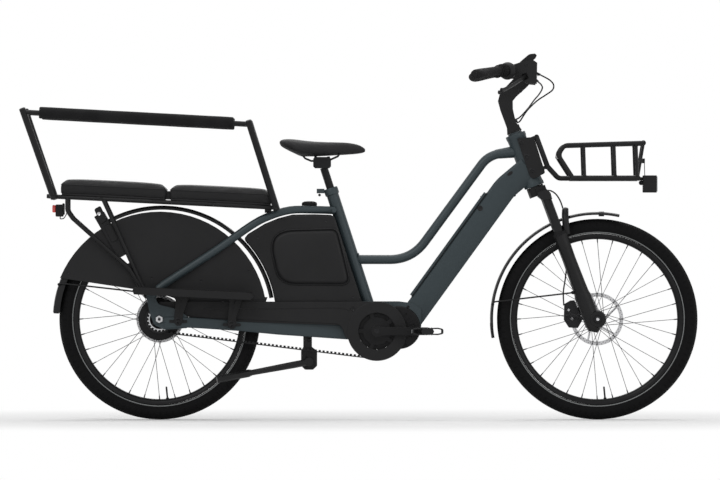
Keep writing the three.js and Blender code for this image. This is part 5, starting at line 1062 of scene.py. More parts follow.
class BIKE_OT_frame(bpy.types.Operator):
    """Makes the frame's tubes, stays and dropouts with their welds and bolts"""
    bl_idname = "bike.frame"
    bl_label = "Frame"

    def execute(self, context):
        f = finishes(context)
        shape = Shape()
        down_tube(shape)
        top_tube(shape)
        seat_tube(shape)
        head_tube(shape)
        bracket(shape)
        rear_tubes(shape)
        shape.piece("frame_tubes", f.paint, bevel=1.6, smooth=32, limit=34, replaces=["frame"])
        battery(f)
        fittings(f)
        return {"FINISHED"}


# ---- drive

BELT_PITCH, BELT_STEP = 13.2, 6.0
REAR_PULLEY, FRONT_PULLEY = 42.02, 92.44
PEDAL_BAR = [(14, 11.5), (34, 12.2), (48, 9.4), (52, 7), (52, 3.6), (46, 5.6), (34, 8), (14, 8)]


def belt_path(pull=0.0):
    """Points round both pulleys, pull outside the pitch line."""
    rear, front = Vector(REAR_AXLE), Vector(CRANK)
    gap = front - rear
    base = degrees(atan2(gap.z, gap.x))
    open_ = degrees(acos((REAR_PULLEY - FRONT_PULLEY) / gap.length))
    high, low = base + open_, base - open_
    route = []
    arcs = ((rear, REAR_PULLEY, high, low + 360), (front, FRONT_PULLEY, low, high))
    for centre, radius, start, end in arcs:
        count = max(2, int(radians(end - start) * radius / BELT_STEP))
        for i in range(count + 1):
            route.append(round_by(centre, start + (end - start) * i / count, radius + pull, -52))
    return route


def spaced(route, pitch):
    """Places at even steps round a closed route, with the way on at each."""
    closed = [*route, route[0]]
    total = sum((b - a).length for a, b in zip(closed, closed[1:]))
    count = round(total / pitch)
    found, walked, i = [], 0.0, 0
    for k in range(count):
        want = total * k / count
        while walked + (closed[i + 1] - closed[i]).length < want:
            walked += (closed[i + 1] - closed[i]).length
            i += 1
        way = (closed[i + 1] - closed[i]).normalized()
        found.append((closed[i] + way * (want - walked), way))
    return found


def belt(f):
    """The toothed belt, and the rear pulley with its teeth."""
    shape = Shape()
    shape.sweep(belt_path(0.8), (6, 1.9), outline=BOX, closed=True)
    tooth = shape.block((-3.8, -5.6, 0), (3.8, 5.6, 6.2))
    left = Vector((0, 1, 0))
    shape.copies(tooth, [axes(way, left, way.cross(left), at)
                         for at, way in spaced(belt_path(), BELT_PITCH)])
    shape.piece("toothed_belt", f.belt, bevel=0.5, segments=1, replaces=["drive_belt"])
    rear, ring = Shape(), Shape()
    hoop(ring, REAR_AXLE, (32.5, 37.4), (-57, -47.6))
    for radii, sides in (((29.8, 33), (-56, -47.6)), ((41.6, 47.5), (-59.3, -58.5)),
                         ((38, 44.5), (-46, -45.6))):
        hoop(rear, REAR_AXLE, radii, sides)
    teeth(ring, REAR_AXLE, 20, 37, 41.6)
    for i in range(5):
        rear.block((17.6, -55, -4), (31, -49, 4), Matrix.Translation(REAR_AXLE)
                   @ Matrix.Rotation(i * 2 * pi / 5, 4, "Y"))
    hoop(rear, REAR_AXLE, (17.6, 21.5), (-57.2, -47), 48)
    rear.piece("rear_pulley", f.dark, "rear_sprocket", bevel=0.4, smooth=30,
               replaces=["rear_sprocket"])
    ring.piece("rear_pulley_teeth", f.steel, "rear_sprocket", bevel=0.3, smooth=30)


def hoop(shape, centre, radii, sides, steps=60):
    """A ring of rectangular section between two radii and two sides."""
    (r, far), (low, high) = radii, sides
    shape.turn([(r, low), (far, low), (far, high), (r, high)], centre, steps)


def teeth(shape, centre, count, root, tip):
    """Teeth round a pulley, as deep as the belt is wide."""
    tooth = shape.plate([(root, -3.2), (tip, -1.6), (tip, 1.6), (root, 3.2)], -57, -47)
    shape.copies(tooth, [Matrix.Translation(centre) @ Matrix.Rotation(
        2 * pi * (i + 0.5) / count, 4, "Y") for i in range(count)])


def guard(f):
    """The belt guard with its sunk line, boss and screws."""
    shape, lip, line = Shape(), Shape(), Shape()
    edge = [round_by(CRANK, a, 97) for a in range(100, 200, 4)]
    foot = [(626, 276), (618, 300), (610, 314), (598, 323), (120, 344), (92, 347), (66, 362),
            (0, 382), (0, 397.5), (712, 397.5)]
    shape.plate([(p.x, p.z) for p in edge] + foot, -65, -62)
    shape.turn([(62, -66), (98.6, -66), (100, -64.8), (100, -62), (62, -62)], CRANK, 96)
    shape.piece("belt_guard_cover", f.moulded, bevel=0.9, smooth=30, replaces=["belt_guard"])
    lip.plate([(100, 358), (606, 336), (606, 318), (100, 336)], -61.6, -58)
    lip.piece("belt_guard_lip", f.moulded, bevel=0.6)
    ridge = eased([(x, -65.2, z) for x, z in (
        (146, 373), (400, 374), (540, 376), (612, 375), (640, 366))], 4)
    line.sweep(ridge, (0.7, 1.7), outline=BOX)
    line.sweep([round_by(CRANK, a, 97.4, -65.1) for a in range(-176, 92, 6)], (0.6, 1.1),
               outline=BOX)
    line.sweep([round_by(CRANK, i * 7.2, 64.5, -65.1) for i in range(50)], (0.7, 1.3),
               outline=BOX, closed=True)
    line.bolt((650, -65, 373), 8, 2.4, (0, -1, 0), 0.4)
    line.bolt((40, -65, 352), 5, 2.0, (0, -1, 0), 0.4)
    line.piece("belt_guard_trim", f.glossy, bevel=0.4, smooth=30)


def motor(f):
    """The drive unit's drum, and the fins, lips and bolts on its faces."""
    drum, fins = Shape(), Shape()
    rim = [(40, 43.8), (68, 43.8), (73.2, 38), (73.2, -38), (68, -43.8), (40, -43.8)]
    drum.turn(rim, MOTOR, 96)
    hoop(drum, CRANK, (20, 61.5), (-42, -38))
    drum.piece("drive_unit_drum", f.alloy, bevel=1.0, smooth=40)
    for side in (-1, 1):
        for i in range(9):
            a = -62 + i * 13
            ends = [round_by(MOTOR, a, r, side * 44.6) for r in (34, 54)]
            fins.sweep(ends, (1.5, 1.2), outline=BOX)
        hoop(fins, MOTOR, (30, 33), sorted((side * 43.6, side * 46.4)), 48)
        for a, r in ((-38, 49.5), (8, 49.5), (62, 49.5), (205, 49.5), (250, 64), (290, 64)):
            fins.bolt(round_by(MOTOR, a, r, side * 43.8), 4, 2.6, (0, side, 0))
    fins.piece("drive_unit_fins", f.alloy, bevel=0.4, smooth=30)


def cranks(f):
    """The cranks' screws, and the front pulley's teeth and bolts."""
    screws, ring = Shape(), Shape()
    screws.screws([(731, 87, 298, 8.6, 1.2, 0.6)])
    screws.piece("crank_screws", f.dark, "crank", smooth=30)
    for i in range(5):
        ring.bolt(round_by(CRANK, 90 + 72 * i, 66, -57.5), 4.6, 2.2, (0, -1, 0))
    teeth(ring, CRANK, 44, 88.8, 91.8)
    ring.piece("front_pulley_teeth", f.dark, "crank", bevel=0.3, smooth=30)


def pedals(f):
    """Resin treads with raised pins and a reflector at each end."""
    for side, x, name in ((-1, 901, "pedal_right"), (1, 561, "pedal_left")):
        cage = Shape()
        core = [(-22, 0), (-16, 11.5), (16, 11.5), (22, 0), (16, -11.5), (-16, -11.5)]
        cage.plate([(x + a, 298 + b) for a, b in core], side * 97.5, side * 191.5)
        for way in (-1, 1):
            cage.block((x + way * 45.5, side * 98, 290), (x + way * 52, side * 191, 306))
            for up in (-1, 1):
                bar = [(x + way * a, 298 + up * b) for a, b in PEDAL_BAR]
                for low, high in ((97.5, 106), (138, 150), (183, 191.5)):
                    cage.plate(bar, side * low, side * high)
        cage.piece(name + "_cage", f.moulded, name, bevel=1.2, replaces=[name])
        pins, glow = Shape(), Shape()
        for up in (-1, 1):
            for dx in (-17, -6, 6, 17):
                for y in (108, 124, 140, 156, 172, 184):
                    at = Vector((x + dx * 0.8, side * y, 298 + up * 11))
                    pins.sweep([at, at + Vector((0, 0, up * 1.8))], [1.8, 1.1], 8)
        pins.piece(name + "_pins", f.moulded, name, smooth=40)
        for dx in (-52.6, 52.6):
            glow.block((x + dx - 0.8, side * 126, 292), (x + dx + 0.8, side * 166, 304))
        glow.piece(name + "_reflectors", f.clear, name, bevel=0.4)


class BIKE_OT_drive(bpy.types.Operator):
    """Makes the toothed belt, both pulleys, the guard, the drive unit, cranks and pedals"""
    bl_idname = "bike.drive"
    bl_label = "Drive"

    def execute(self, context):
        f = finishes(context)
        belt(f)
        guard(f)
        motor(f)
        cranks(f)
        pedals(f)
        return {"FINISHED"}


# ---- box in the rear triangle

BOX_HOLLOW = 384.4
BOX_TOP = [(285, 610), (298, 625), (354, 659), (400, 678), (447, 690), (520, 691), (580, 689),
           (589, 680), (682, 392), (391, 392)]
PANEL = [(622, 560), (600, 646), (358, 640), (398, 452), (648, 450), (622, 560)]


def box_side():
    """The box seen from the side: its rear edge is hollowed round the fender's bow."""
    bow = [round_by(FENDER_MIDDLE, a, BOX_HOLLOW) for a in (9, 12, 16, 20, 24, 28, 32, 36, 40, 43)]
    return BOX_TOP + [(p.x, p.z) for p in bow]


def box_panels(f):
    """The raised panel on each side, with a sunk line round its pillow."""
    panel, screws = Shape(), Shape()
    path = rounded([(x, 0, z) for x, z in PANEL], [32, 78, 74, 32], 9)[:-1]
    for side in (-1, 1):
        verts = panel.plate([(p.x, p.z) for p in path], side * 51, side * 53)
        face = max({g for v in verts for g in v.link_faces if len(g.verts) > 8},
                   key=lambda g: g.calc_center_median().y * side)
        for thick, rise in ((2, 2.2), (2, 0.8), (2, -2.2), (1.5, -1.6), (2, 2), (3, 2.4),
                            (3, 1.6), (3, 0.6)):
            bmesh.ops.inset_region(panel.bm, faces=[face], thickness=thick)
            bmesh.ops.translate(panel.bm, vec=(0, rise * side, 0), verts=face.verts)
    screws.screws([(x, 51.6, z, 4.5, 1.8)
                   for x, z in ((398, 412), (330, 612), (560, 668), (650, 412))])
    panel.piece("box_side_panels", f.sheet, smooth=50)
    screws.piece("box_screws", f.dark, smooth=30)


def port_cap(f):
    """The rubber cap on its strap, over the port in the box's top."""
    shape = Shape()
    strap = [(445, -9), (470, -12), (484, -20), (504, -24), (523, -20), (531, 0)]
    strap += [(x, -y) for x, y in reversed(strap[:-1])]
    lie = Matrix(((1, 0, 0), (0, 0, 1), (0, 1, 0))).to_4x4()
    shape.plate(strap, 694, 700, 4, 3, place=lie)
    shape.sweep([(504, 0, z) for z in (698, 708, 716, 719, 726, 731, 734, 735)],
                [17, 16, 17, 25, 26, 24, 17, 6], 40, side=AHEAD)
    shape.sweep([(443, y, 696.8) for y in (-9, 9)], 3, 16, side=AHEAD)
    shape.piece("port_cap_shell", f.rubber, "port_cap", bevel=0.8, smooth=40, replaces=["port_cap"])


class BIKE_OT_box(bpy.types.Operator):
    """Makes the box between the stays with its padded side panels and its port cap"""
    bl_idname = "bike.box"
    bl_label = "Box"

    def execute(self, context):
        f = finishes(context)
        shell = Shape()
        shell.plate(box_side(), -52, 52)
        shell.piece("box_shell", f.moulded, bevel=7.0, segments=5, smooth=40,
                    replaces=["frame_box"])
        box_panels(f)
        port_cap(f)
        return {"FINISHED"}


# ---- rear deck

RAIL_SIDE = 85
RACK_FOOT = (-42, 61, 423.1)
CROSS = (-359.3, -195.2, -16.2, 182.2, 390.7)
REAR_STRUT = [(1, 1, 1), (1, 1, 0.86), (0.93, 0.97, 0.78), (0.22, 0.35, 0.26),
              (0.09, 0, 0.075), (0, 0, 0)]
MID_STRUT = [(1, 1, 1), (0.8, 0.87, 0.8), (0.12, 0, 0.09), (0, 0, 0)]


def rail_z(x):
    """The middle line of the rack's rails, which falls a little ahead."""
    return 732.7 - 0.05 * x


def strut(shares, back):
    """The way of a strut from the rack's foot to the rail that far behind it."""
    foot = Vector(RACK_FOOT)
    top = rail_z(foot.x - back)
    return [foot + Vector((-a * back, b * (RAIL_SIDE - foot.y), c * (top - foot.z)))
            for a, b, c in shares]


def rear_rack(f):
    """The rails, struts, cross tubes and slats of the rear rack, with its bolts."""
    shape = Shape()
    half = shape.sweep([(x, RAIL_SIDE, rail_z(x)) for x in (-378, -376, 398, 400)],
                       [6.2, 7.25, 7.25, 6.2], 20)
    for shares, back in ((REAR_STRUT, 267), (MID_STRUT, 147)):
        route = rounded(strut(shares, back)[::-1], 26, 5)
        half += shape.sweep(route, 7, 18)
    foot = Vector(RACK_FOOT)
    half += shape.sweep([foot + Vector((0, y, -4)) for y in (-7, 6.4)], 12, 20, side=AHEAD)
    half += shape.block((354, 43, 696), (376, 57, rail_z(365)))
    shape.mirror(half)
    for x in CROSS:
        shape.sweep([(x, y, rail_z(x)) for y in (-94.5, -93, 93, 94.5)], [5, 6, 6, 5], 18,
                    side=AHEAD)
    shape.sweep([(365, -85, rail_z(365)), (365, 85, rail_z(365))], 6, 18, side=AHEAD)
    for x in (-300, -110, 60, 280):
        shape.block((x - 18, -86, rail_z(x) - 2.5), (x + 18, 86, rail_z(x) + 1.5))
    shape.piece("rear_rack_tubes", f.powder, bevel=0.7, smooth=40, replaces=["rear_rack"])
    bolts = Shape()
    bolts.screws([(-42, 68, 419, 6, 3), (365, 57, 704, 6, 3),
                  *((x, 94, rail_z(x), 5, 2.4) for x in CROSS[::4])])
    bolts.piece("rear_rack_bolts", f.dark, smooth=30)


def handrail(f):
    """Four leaning legs, two side bars in foam and a bar at each end."""
    shape = Shape()
    tops = {}
    for x, back, rise in ((-356, 101, 292), (392, 91, 289)):
        for side in (-1, 1):
            foot = Vector((x, side * 105, rail_z(x)))
            top = Vector((x - back, side * 170, rail_z(x) + rise))
            way = (top - foot).normalized()
            shape.sweep([foot - way * 9, foot - way * 7, top + way * 2, top + way * 4],
                        [9, 11, 11, 8.5], 22)
            shape.bolt(foot + Vector((0, side * 10, 0)), 7.5, 4, (0, side, 0))
            tops[x, side] = top - way * 9
        shape.sweep([tops[x, -1], tops[x, 1]], 9, 18, side=AHEAD)
    for side in (-1, 1):
        shape.sweep([tops[-356, side], tops[392, side]], 7.5, 18)
    shape.piece("handrail_tubes", f.powder, bevel=0.5, smooth=40, replaces=["handrail"])
    for side, name in ((1, "left"), (-1, "right")):
        a, b = tops[-356, side], tops[392, side]
        foam = Shape()
        stops = [0.07, 0.0705, 0.075, 0.12, 0.2, 0.3, 0.4, 0.5, 0.6, 0.7, 0.8, 0.88, 0.925,
                 0.9295, 0.93]
        sizes = [12.5, 17.5, 19.6, 20, 19.8, 20, 19.7, 20, 19.8, 20, 19.7, 20, 19.6, 17.5, 12.5]
        foam.sweep([a + (b - a) * s for s in stops], sizes, 40)
        made = foam.piece("foam_grip_" + name, f.foam, smooth=50, replaces=["foam_sleeve_" + name])


class BIKE_OT_deck(bpy.types.Operator):
    """Makes the rear rack, its handrail and the foam sleeves"""
    bl_idname = "bike.deck"
    bl_label = "Rear deck"

    def execute(self, context):
        f = finishes(context)
        rear_rack(f)
        handrail(f)
        return {"FINISHED"}


# ---- guards

def bow(shape, centre, radius, half, lip, wall, start, end, steps=72):
    """A crowned fender section turned from start to end, in degrees."""
    outer = [(radius - lip, half), (radius - lip * 0.45, half), (radius - 3.0, half * 0.9),
             (radius - 0.8, half * 0.6), (radius, half * 0.2)]
    inner = [(r - wall, y - (wall if abs(y) > half * 0.8 else 0)) for r, y in reversed(outer)]
    inner[-1] = (radius - lip, half - wall)
    outer += [(r, -y) for r, y in reversed(outer)]
    inner = [(r, -y) for r, y in reversed(inner)] + inner
    made = shape.turn([*outer, *inner], centre, steps, angle=end - start)
    chosen = set(made)
    rim = [e for e in shape.bm.edges if e.is_boundary and chosen.issuperset(e.verts)]
    bmesh.ops.holes_fill(shape.bm, edges=rim)
    turn = Matrix.Translation(centre) @ Matrix.Rotation(-radians(end), 4, "Y") \
        @ Matrix.Translation(-Vector(centre))
    return shape.moved(made, turn)


def wire_stay(shape, points):
    shape.sweep(rounded(points, 12, 5), 2.4, 12, side=(0.1, 0, 1))


def rear_fender(f):
    """The two bows of the rear fender, its flap and its wire stays."""
    shape, flap, stays, centre = Shape(), Shape(), Shape(), (0, 0, 339)
    bow(shape, FENDER_MIDDLE, 382.4, 42, 14, 2.5, 11, 120, 76)
    bow(shape, centre, 359.5, 42, 24, 2.5, 116, 176.5, 44)
    shape.piece("rear_fender_bow", f.moulded, bevel=0.5, smooth=40, replaces=["rear_fender"])
    bow(flap, centre, 357.7, 40, 18, 2, 173, 177, 8)
    flap.piece("rear_fender_flap", f.rubber, bevel=0.5, smooth=40)
    for side in (-1, 1):
        wire_stay(stays, [(-338, side * 42, 455), (-330, side * 48, 459), (-92, side * 66, 432),
                          (-60, side * 67, 428)])
    stays.screws([(-338, 41.5, 455, 5, 3), (-60, 68, 428, 5.5, 3.4)])
    stays.piece("rear_fender_stays", f.powder, smooth=40)


def skirts(f):
    """The turned foot of each skirt and the screws."""
    screws = Shape()
    for side, name in ((-1, "right"), (1, "left")):
        edge = Shape()
        edge.plate([(96, 396), (357, 396), (363, 412), (96, 412)], side * 44.2, side * 46.3)
        edge.piece("side_skirt_foot_" + name, f.sheet, bevel=0.6)
    screws.screws([(x, 46.4, z, 4.4, 1.7) for x, z in (
        (-307, 494), (33, 682), (-26, 476), (190, 640), (300, 500), (140, 466))])
    screws.piece("skirt_screws", f.dark, smooth=30)


def ring_lock(f):
    """The ring lock's lid and key barrel."""
    shape, key = Shape(), Shape()
    lid = [(-219.9, 707.6), (-198.3, 720), (-175.8, 672.6), (-196.3, 656.8)]
    shape.plate(lid, -60.6, -55.2, 6, 3)
    shape.plate([(-186, 650), (-166, 660), (-139, 606), (-160, 596)], -58.4, -55.2, 5, 3)
    shape.piece("ring_lock_lid", f.powder, bevel=1.2, smooth=30)
    key.bolt((-203, -60.6, 692.6), 6.5, 2.6, (0, -1, 0), 0.35)
    key.piece("ring_lock_key_barrel", f.steel, smooth=30)


def rear_light(f):
    """The rear light's housing, its red lens and its cable."""
    body, lens, lead = Shape(), Shape(), Shape()
    body.block((-350, -31, 683), (-324, 31, 724))
    body.block((-328, -9, 689), (-319.5, 9, 728))
    body.piece("rear_light_housing", f.moulded, bevel=3.4, segments=3, replaces=["rear_light"])
    lens.block((-361, -28, 697), (-349, 28, 722))
    lens.piece("rear_light_lens", f.red, bevel=3.4, segments=4)
    lead.sweep(eased([(-334, -14, 684), (-334, -15, 676), (-322, -24, 678), (-312, -38, 694),
                      (-309, -60, 712), (-309, -78, 728)], 6), 1.7, 10, side=UP)
    lead.piece("rear_light_lead", f.hose, smooth=50)


def front_fender(f):
    """The front fender's bow, its flap and its wire stays."""
    shape, flap, stays = Shape(), Shape(), Shape()
    bow(shape, FRONT_AXLE, 361, 35, 10, 2.3, 78, 184, 80)
    shape.piece("front_fender_bow", f.moulded, "fork_lowers", bevel=0.5, smooth=40,
                replaces=["front_fender"])
    bow(flap, FRONT_AXLE, 361.5, 34, 10, 2, 182, 190.2, 10)
    flap.piece("front_fender_flap", f.rubber, "fork_lowers", bevel=0.5, smooth=40)
    for side in (-1, 1):
        end = head(-3, side * 62, 112)
        wire_stay(stays, [(1121, side * 35, 384), (1124, side * 41, 396), end])
        stays.bolt((1121, side * 34.6, 388), 5, 3, (0, side, 0))
        stays.bolt(end + Vector((0, side, 0)), 5.5, 3.2, (0, side, 0))
    stays.block((1478, -12, 684), (1496, 12, 700))
    stays.piece("front_fender_stays", f.powder, "fork_lowers", bevel=0.6, smooth=40)


class BIKE_OT_guards(bpy.types.Operator):
    """Makes the fenders, the skirts' feet and screws, the wheel lock's lid and the rear light"""
    bl_idname = "bike.guards"
    bl_label = "Guards"

    def execute(self, context):
        f = finishes(context)
        rear_fender(f)
        skirts(f)
        ring_lock(f)
        rear_light(f)
        front_fender(f)
        return {"FINISHED"}


# ---- seats

def pad(name, start, long_, size, f):
    """A pad blown up from a plain block, laid on the rails, with its seams."""
    shape = Shape()
    shape.block((-long_ / 2 - 5, -97, 1), (long_ / 2 + 5, 97, 42))
    round_off(shape, lambda e, rise: rise > 1, 16, 5)
    round_off(shape, lambda e, rise: rise < 1 and abs(e.calc_face_angle(0)) > 1, 11, 3)
    shape.moved(shape.bm.verts, Matrix.Scale(0.001, 4))
    made = placed(name + "_cushion", shape.bm)
    net = made.modifiers.new("Net", "REMESH")
    net.mode, net.voxel_size, net.use_smooth_shade = "VOXEL", 0.005, True
    apply_modifiers(made)
    fill_cloth(made, size.swell / 1000)
    middle = start + long_ / 2
    cushion = bmesh.new()
    cushion.from_mesh(made.data)
    bmesh.ops.smooth_vert(cushion, verts=cushion.verts, factor=0.5, use_axis_x=True,
                          use_axis_y=True, use_axis_z=True)
    for v in cushion.verts:
        a, b = min(1, abs(v.co.x) * 2000 / long_), min(1, abs(v.co.y) / 0.1)
        v.co.y *= 1 - 0.05 * (1 - a * a)
        v.co.x *= 1 - 0.008 * (1 - b * b)
        v.co.z += 0.006 * (1 - a ** 4) * (1 - b * b) * min(1, max(0, v.co.z / 0.04))
        v.co.z = max(v.co.z, 0.0) if b < 0.93 else v.co.z
    tilt = Matrix.Translation((middle, 0, rail_z(middle) + 7.6)) @ Matrix.Rotation(0.05, 4, "Y")
    bmesh.ops.transform(cushion, matrix=OUT @ tilt @ Matrix.Scale(1000, 4), verts=cushion.verts)
    loops = [pad_loop(cushion, OUT @ tilt, rise) for rise in (8.5, 34.5)]
    cushion.to_mesh(made.data)
    cushion.free()
    soft = made.modifiers.new("Smooth", "SUBSURF")
    soft.levels = soft.render_levels = 1
    made.data.materials.append(f.vinyl.material)
    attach(made, "frame")
    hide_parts(name)
    board = Shape()
    board.block((-long_ / 2 + 5, -88, -0.6), (long_ / 2 - 5, 88, 6), place=tilt)
    if start < 0:
        board.block((long_ / 2 - 6, -72, 2), (long_ / 2 + 14, 72, 30), place=tilt)
    board.piece(name + "_board", f.moulded, bevel=1.2)
    piping = Shape()
    for line in loops:
        if len(line) > 20:
            piping.sweep(line, size.seam, 8, side=UP, closed=True)
    piping.piece(name + "_piping", f.vinyl, smooth=60)


def round_off(shape, chosen, offset, segments):
    """Rounds the edges that are chosen, by the edge and how far it rises."""
    edges = [e for e in shape.bm.edges if chosen(e, abs((e.verts[0].co - e.verts[1].co).z))]
    bmesh.ops.bevel(shape.bm, geom=edges, offset=offset, affect="EDGES", segments=segments,
                    profile=0.5, material=-1)


def pad_loop(mesh, place, rise):
    """The pad's outline at a height over its base, in design millimetres."""
    slice_, back = mesh.copy(), OUT.inverted()
    up = (place.to_3x3() @ Vector((0, 0, 1))).normalized()
    middle = place @ Vector((0, 0, rise))
    cut = bmesh.ops.bisect_plane(slice_, geom=[*slice_.verts, *slice_.edges, *slice_.faces],
                                 plane_co=middle, plane_no=up)["geom_cut"]
    found = sorted((back @ v.co for v in only(cut, VERT)),
                   key=lambda p: atan2(p.y, p.x - (back @ middle).x))
    slice_.free()
    return found[::max(1, len(found) // 90)]


def apply_modifiers(made):
    """The mesh as its modifiers leave it, and no modifiers."""
    graph = bpy.context.evaluated_depsgraph_get()
    mesh = bpy.data.meshes.new_from_object(made.evaluated_get(graph))
    made.modifiers.clear()
    made.data = mesh


def fill_cloth(made, most):
    """Blows the cloth up, and keeps each point within the most it may move."""
    scene = bpy.context.scene
    rest = [v.co.copy() for v in made.data.vertices]
    cloth = made.modifiers.new("Cloth", "CLOTH")
    rules = cloth.settings
    rules.use_pressure, rules.uniform_pressure_force = True, 4
    rules.quality, rules.mass = 5, 0.3
    rules.tension_stiffness = rules.compression_stiffness = 25
    rules.bending_stiffness = 1.5
    rules.effector_weights.gravity = 0
    cloth.point_cache.frame_start, cloth.point_cache.frame_end = 1, 20
    for at in range(1, 21):
        scene.frame_set(at)
    apply_modifiers(made)
    scene.frame_set(1)
    for v, old in zip(made.data.vertices, rest):
        way = v.co - old
        if way.length > most:
            v.co = old + way.normalized() * most


def seatpost(f):
    """The seatpost's height marks and the bolts of its clamp."""
    marks, bolts = Shape(), Shape()
    for i in range(7):
        marks.sweep([mast(506 + i * 9), mast(506.7 + i * 9)], 13.75, 28)
    marks.piece("seatpost_marks", f.alloy, "seatpost", smooth=40)
    at = Vector((546.8, 0, 864.8))
    for dx in (-22, 22):
        bolts.bolt(at + Vector((dx, 0, 17)), 5, 4, (0, 0, 1))
        bolts.sweep([at + Vector((dx, y, -2)) for y in (-20, 20)], 5.4, 16, side=AHEAD)
    bolts.piece("seat_clamp_bolts", f.dark, "seatpost", smooth=30)


class BIKE_OT_seats(bpy.types.Operator):
    """Makes the two passenger pads as filled cloth, with piping, and the seatpost's fittings"""
    bl_idname = "bike.seats"
    bl_label = "Seats"

    def execute(self, context):
        size, f = context.scene.bike.seats, finishes(context)
        for name, start, long_ in (("seat_pad_rear", -333, 358), ("seat_pad_front", 33, 346)):
            pad(name, start, long_, size, f)
        seatpost(f)
        return {"FINISHED"}


# ---- front rack, headlight and fork

RACK_PLATE = [(0.07, 0.92), (1, 0.835), (0.9, 0.16), (0.17, 0.13), (0, 0.19)]
RACK_RAIL = [(0, 0), (-0.228, 0.66), (-0.128, 0.932), (1.09, 1)]
RACK_POSTS = [(0.182, 0.164), (0.648, 0.63), (0.986, 0.968)]
FORK_LEG = [(-34, 13, 18, 15), (-22, 20, 20, 24), (0, 24, 20, 26), (84, 24, 20, 27.5),
            (110, 24, 20, 24), (220, 24, 20, 21.5), (290, 24, 20, 23), (314, 24, 20, 25.2)]
FORK_ARCH = [(46, 62, 304), (60, 58, 356), (69, 38, 381), (71, 0, 384)]


def on_rack(a, b, y):
    """A place on the front rack, by shares of its base and of its height."""
    return Vector((1388 + a * 219, y, 812 + b * 118))


def up_head(share):
    """How far up the steering axis a share of the head tube is."""
    return 492 + share * 188


def front_rack(f):
    """Side plates on the head tube, the bent tubes, the rail and its posts, with welds."""
    tubes, plates, bolts, welds = Shape(), Shape(), Shape(), Shape()
    outline = [(a * 59 - 4, up_head(b)) for a, b in RACK_PLATE]
    crosses = [(0, 0, 7.4), (0.5, 0, 6.8), (1, 0, 7.4), (1.08, 1, 7.4), (-0.211, 0.61, 6)]
    for side in (-1, 1):
        y = side * 37.8
        plates.plate(outline, side * 36.3, side * 39.5, 6, 4, place=HEAD)
        for share in (0.82, 0.255):
            plates.sweep([head(46, y, up_head(share)), head(64, y, up_head(share))], (1.5, 6),
                         outline=BOX)
        top, low = head(64, y, up_head(0.82)), head(64, y, up_head(0.255))
        path = rounded([top, low, (1342, y, 812), (1607, y, 812)], [30, 24], 8)
        tubes.sweep(path, 8.2, 24)
        tubes.sweep([on_rack(-0.03, 0, side * 149), on_rack(1.02, 0, side * 149)], 9, 20)
        rail = rounded([on_rack(a, b, side * 149) for a, b in RACK_RAIL], [34, 26], 8)
        tubes.sweep(rail, 7.6, 20)
        posts = [(on_rack(foot, 0, side * 150), on_rack(up, 0.975, side * 150), 5.4, 16, 9, 7.6)
                 for foot, up in RACK_POSTS]
        posts += [(on_rack(1, 0, side * share * 150), on_rack(1.09, 1, side * share * 150),
                   4, 14, 6.5, 6) for share in (0.33, 0.8)]
        for foot, up, radius, sides, low_tube, high_tube in posts:
            tubes.sweep([foot, up], radius, sides)
            rack_weld(welds, foot, up, low_tube, radius)
            rack_weld(welds, up, foot, high_tube, radius)
        for a, b, radius in crosses:
            end, far = on_rack(a, b, side * 150), on_rack(a, b, 0)
            rack_weld(welds, end, far, 9 if b == 0 else 7.6, radius)
        for share in (0.28, 0.55, 0.82):
            at = head(8, side * 39.5, up_head(share))
            bolts.bolt(at, 9.5, 1.6, (0, side, 0), 0)
            bolts.bolt(at + Vector((0, side * 1.6, 0)), 6.6, 3.4, (0, side, 0))
        bolts.bolt(on_rack(-0.03, 0, side * 150), 7, 1.5, (-1, 0, 0), 0)
    for a, b, radius in crosses:
        tubes.sweep([on_rack(a, b, -150), on_rack(a, b, 150)], radius, 20, side=AHEAD)
    tubes.sweep([head(64, y, up_head(0.82)) for y in (-37.8, 37.8)], 8.2, 24, side=AHEAD)
    tubes.piece("front_rack_tubes", f.powder, smooth=50, replaces=["front_rack"])
    plates.piece("front_rack_plates", f.powder, bevel=0.8, smooth=35)
    bolts.piece("front_rack_bolts", f.dark, smooth=30)
    welds.piece("front_rack_welds", f.powder, smooth=70)
    tie = Shape()
    tie.sweep([(1620, 18, 928), (1620, 18, 868)], 1.4, 10)
    tie.sweep([(1632, 18, 872), (1633.5, 18, 821)], 1.4, 10)
    tie.block((1617.5, 13, 863), (1634, 23, 879))
    tie.piece("front_rack_lamp_tie", f.moulded, bevel=0.6, smooth=40)


def rack_weld(shape, at, far, other, radius):
    """A bead round a tube where it meets a crossing tube of the other radius."""
    on = (far - at).normalized()
    places = [at + on * (other + step) for step in (-1.2, 0.2, 1.5)]
    shape.sweep(places, [(radius + 1.6,) * 2, (radius + 1.3,) * 2, (radius + 0.1,) * 2], 18,
                side=on.orthogonal())


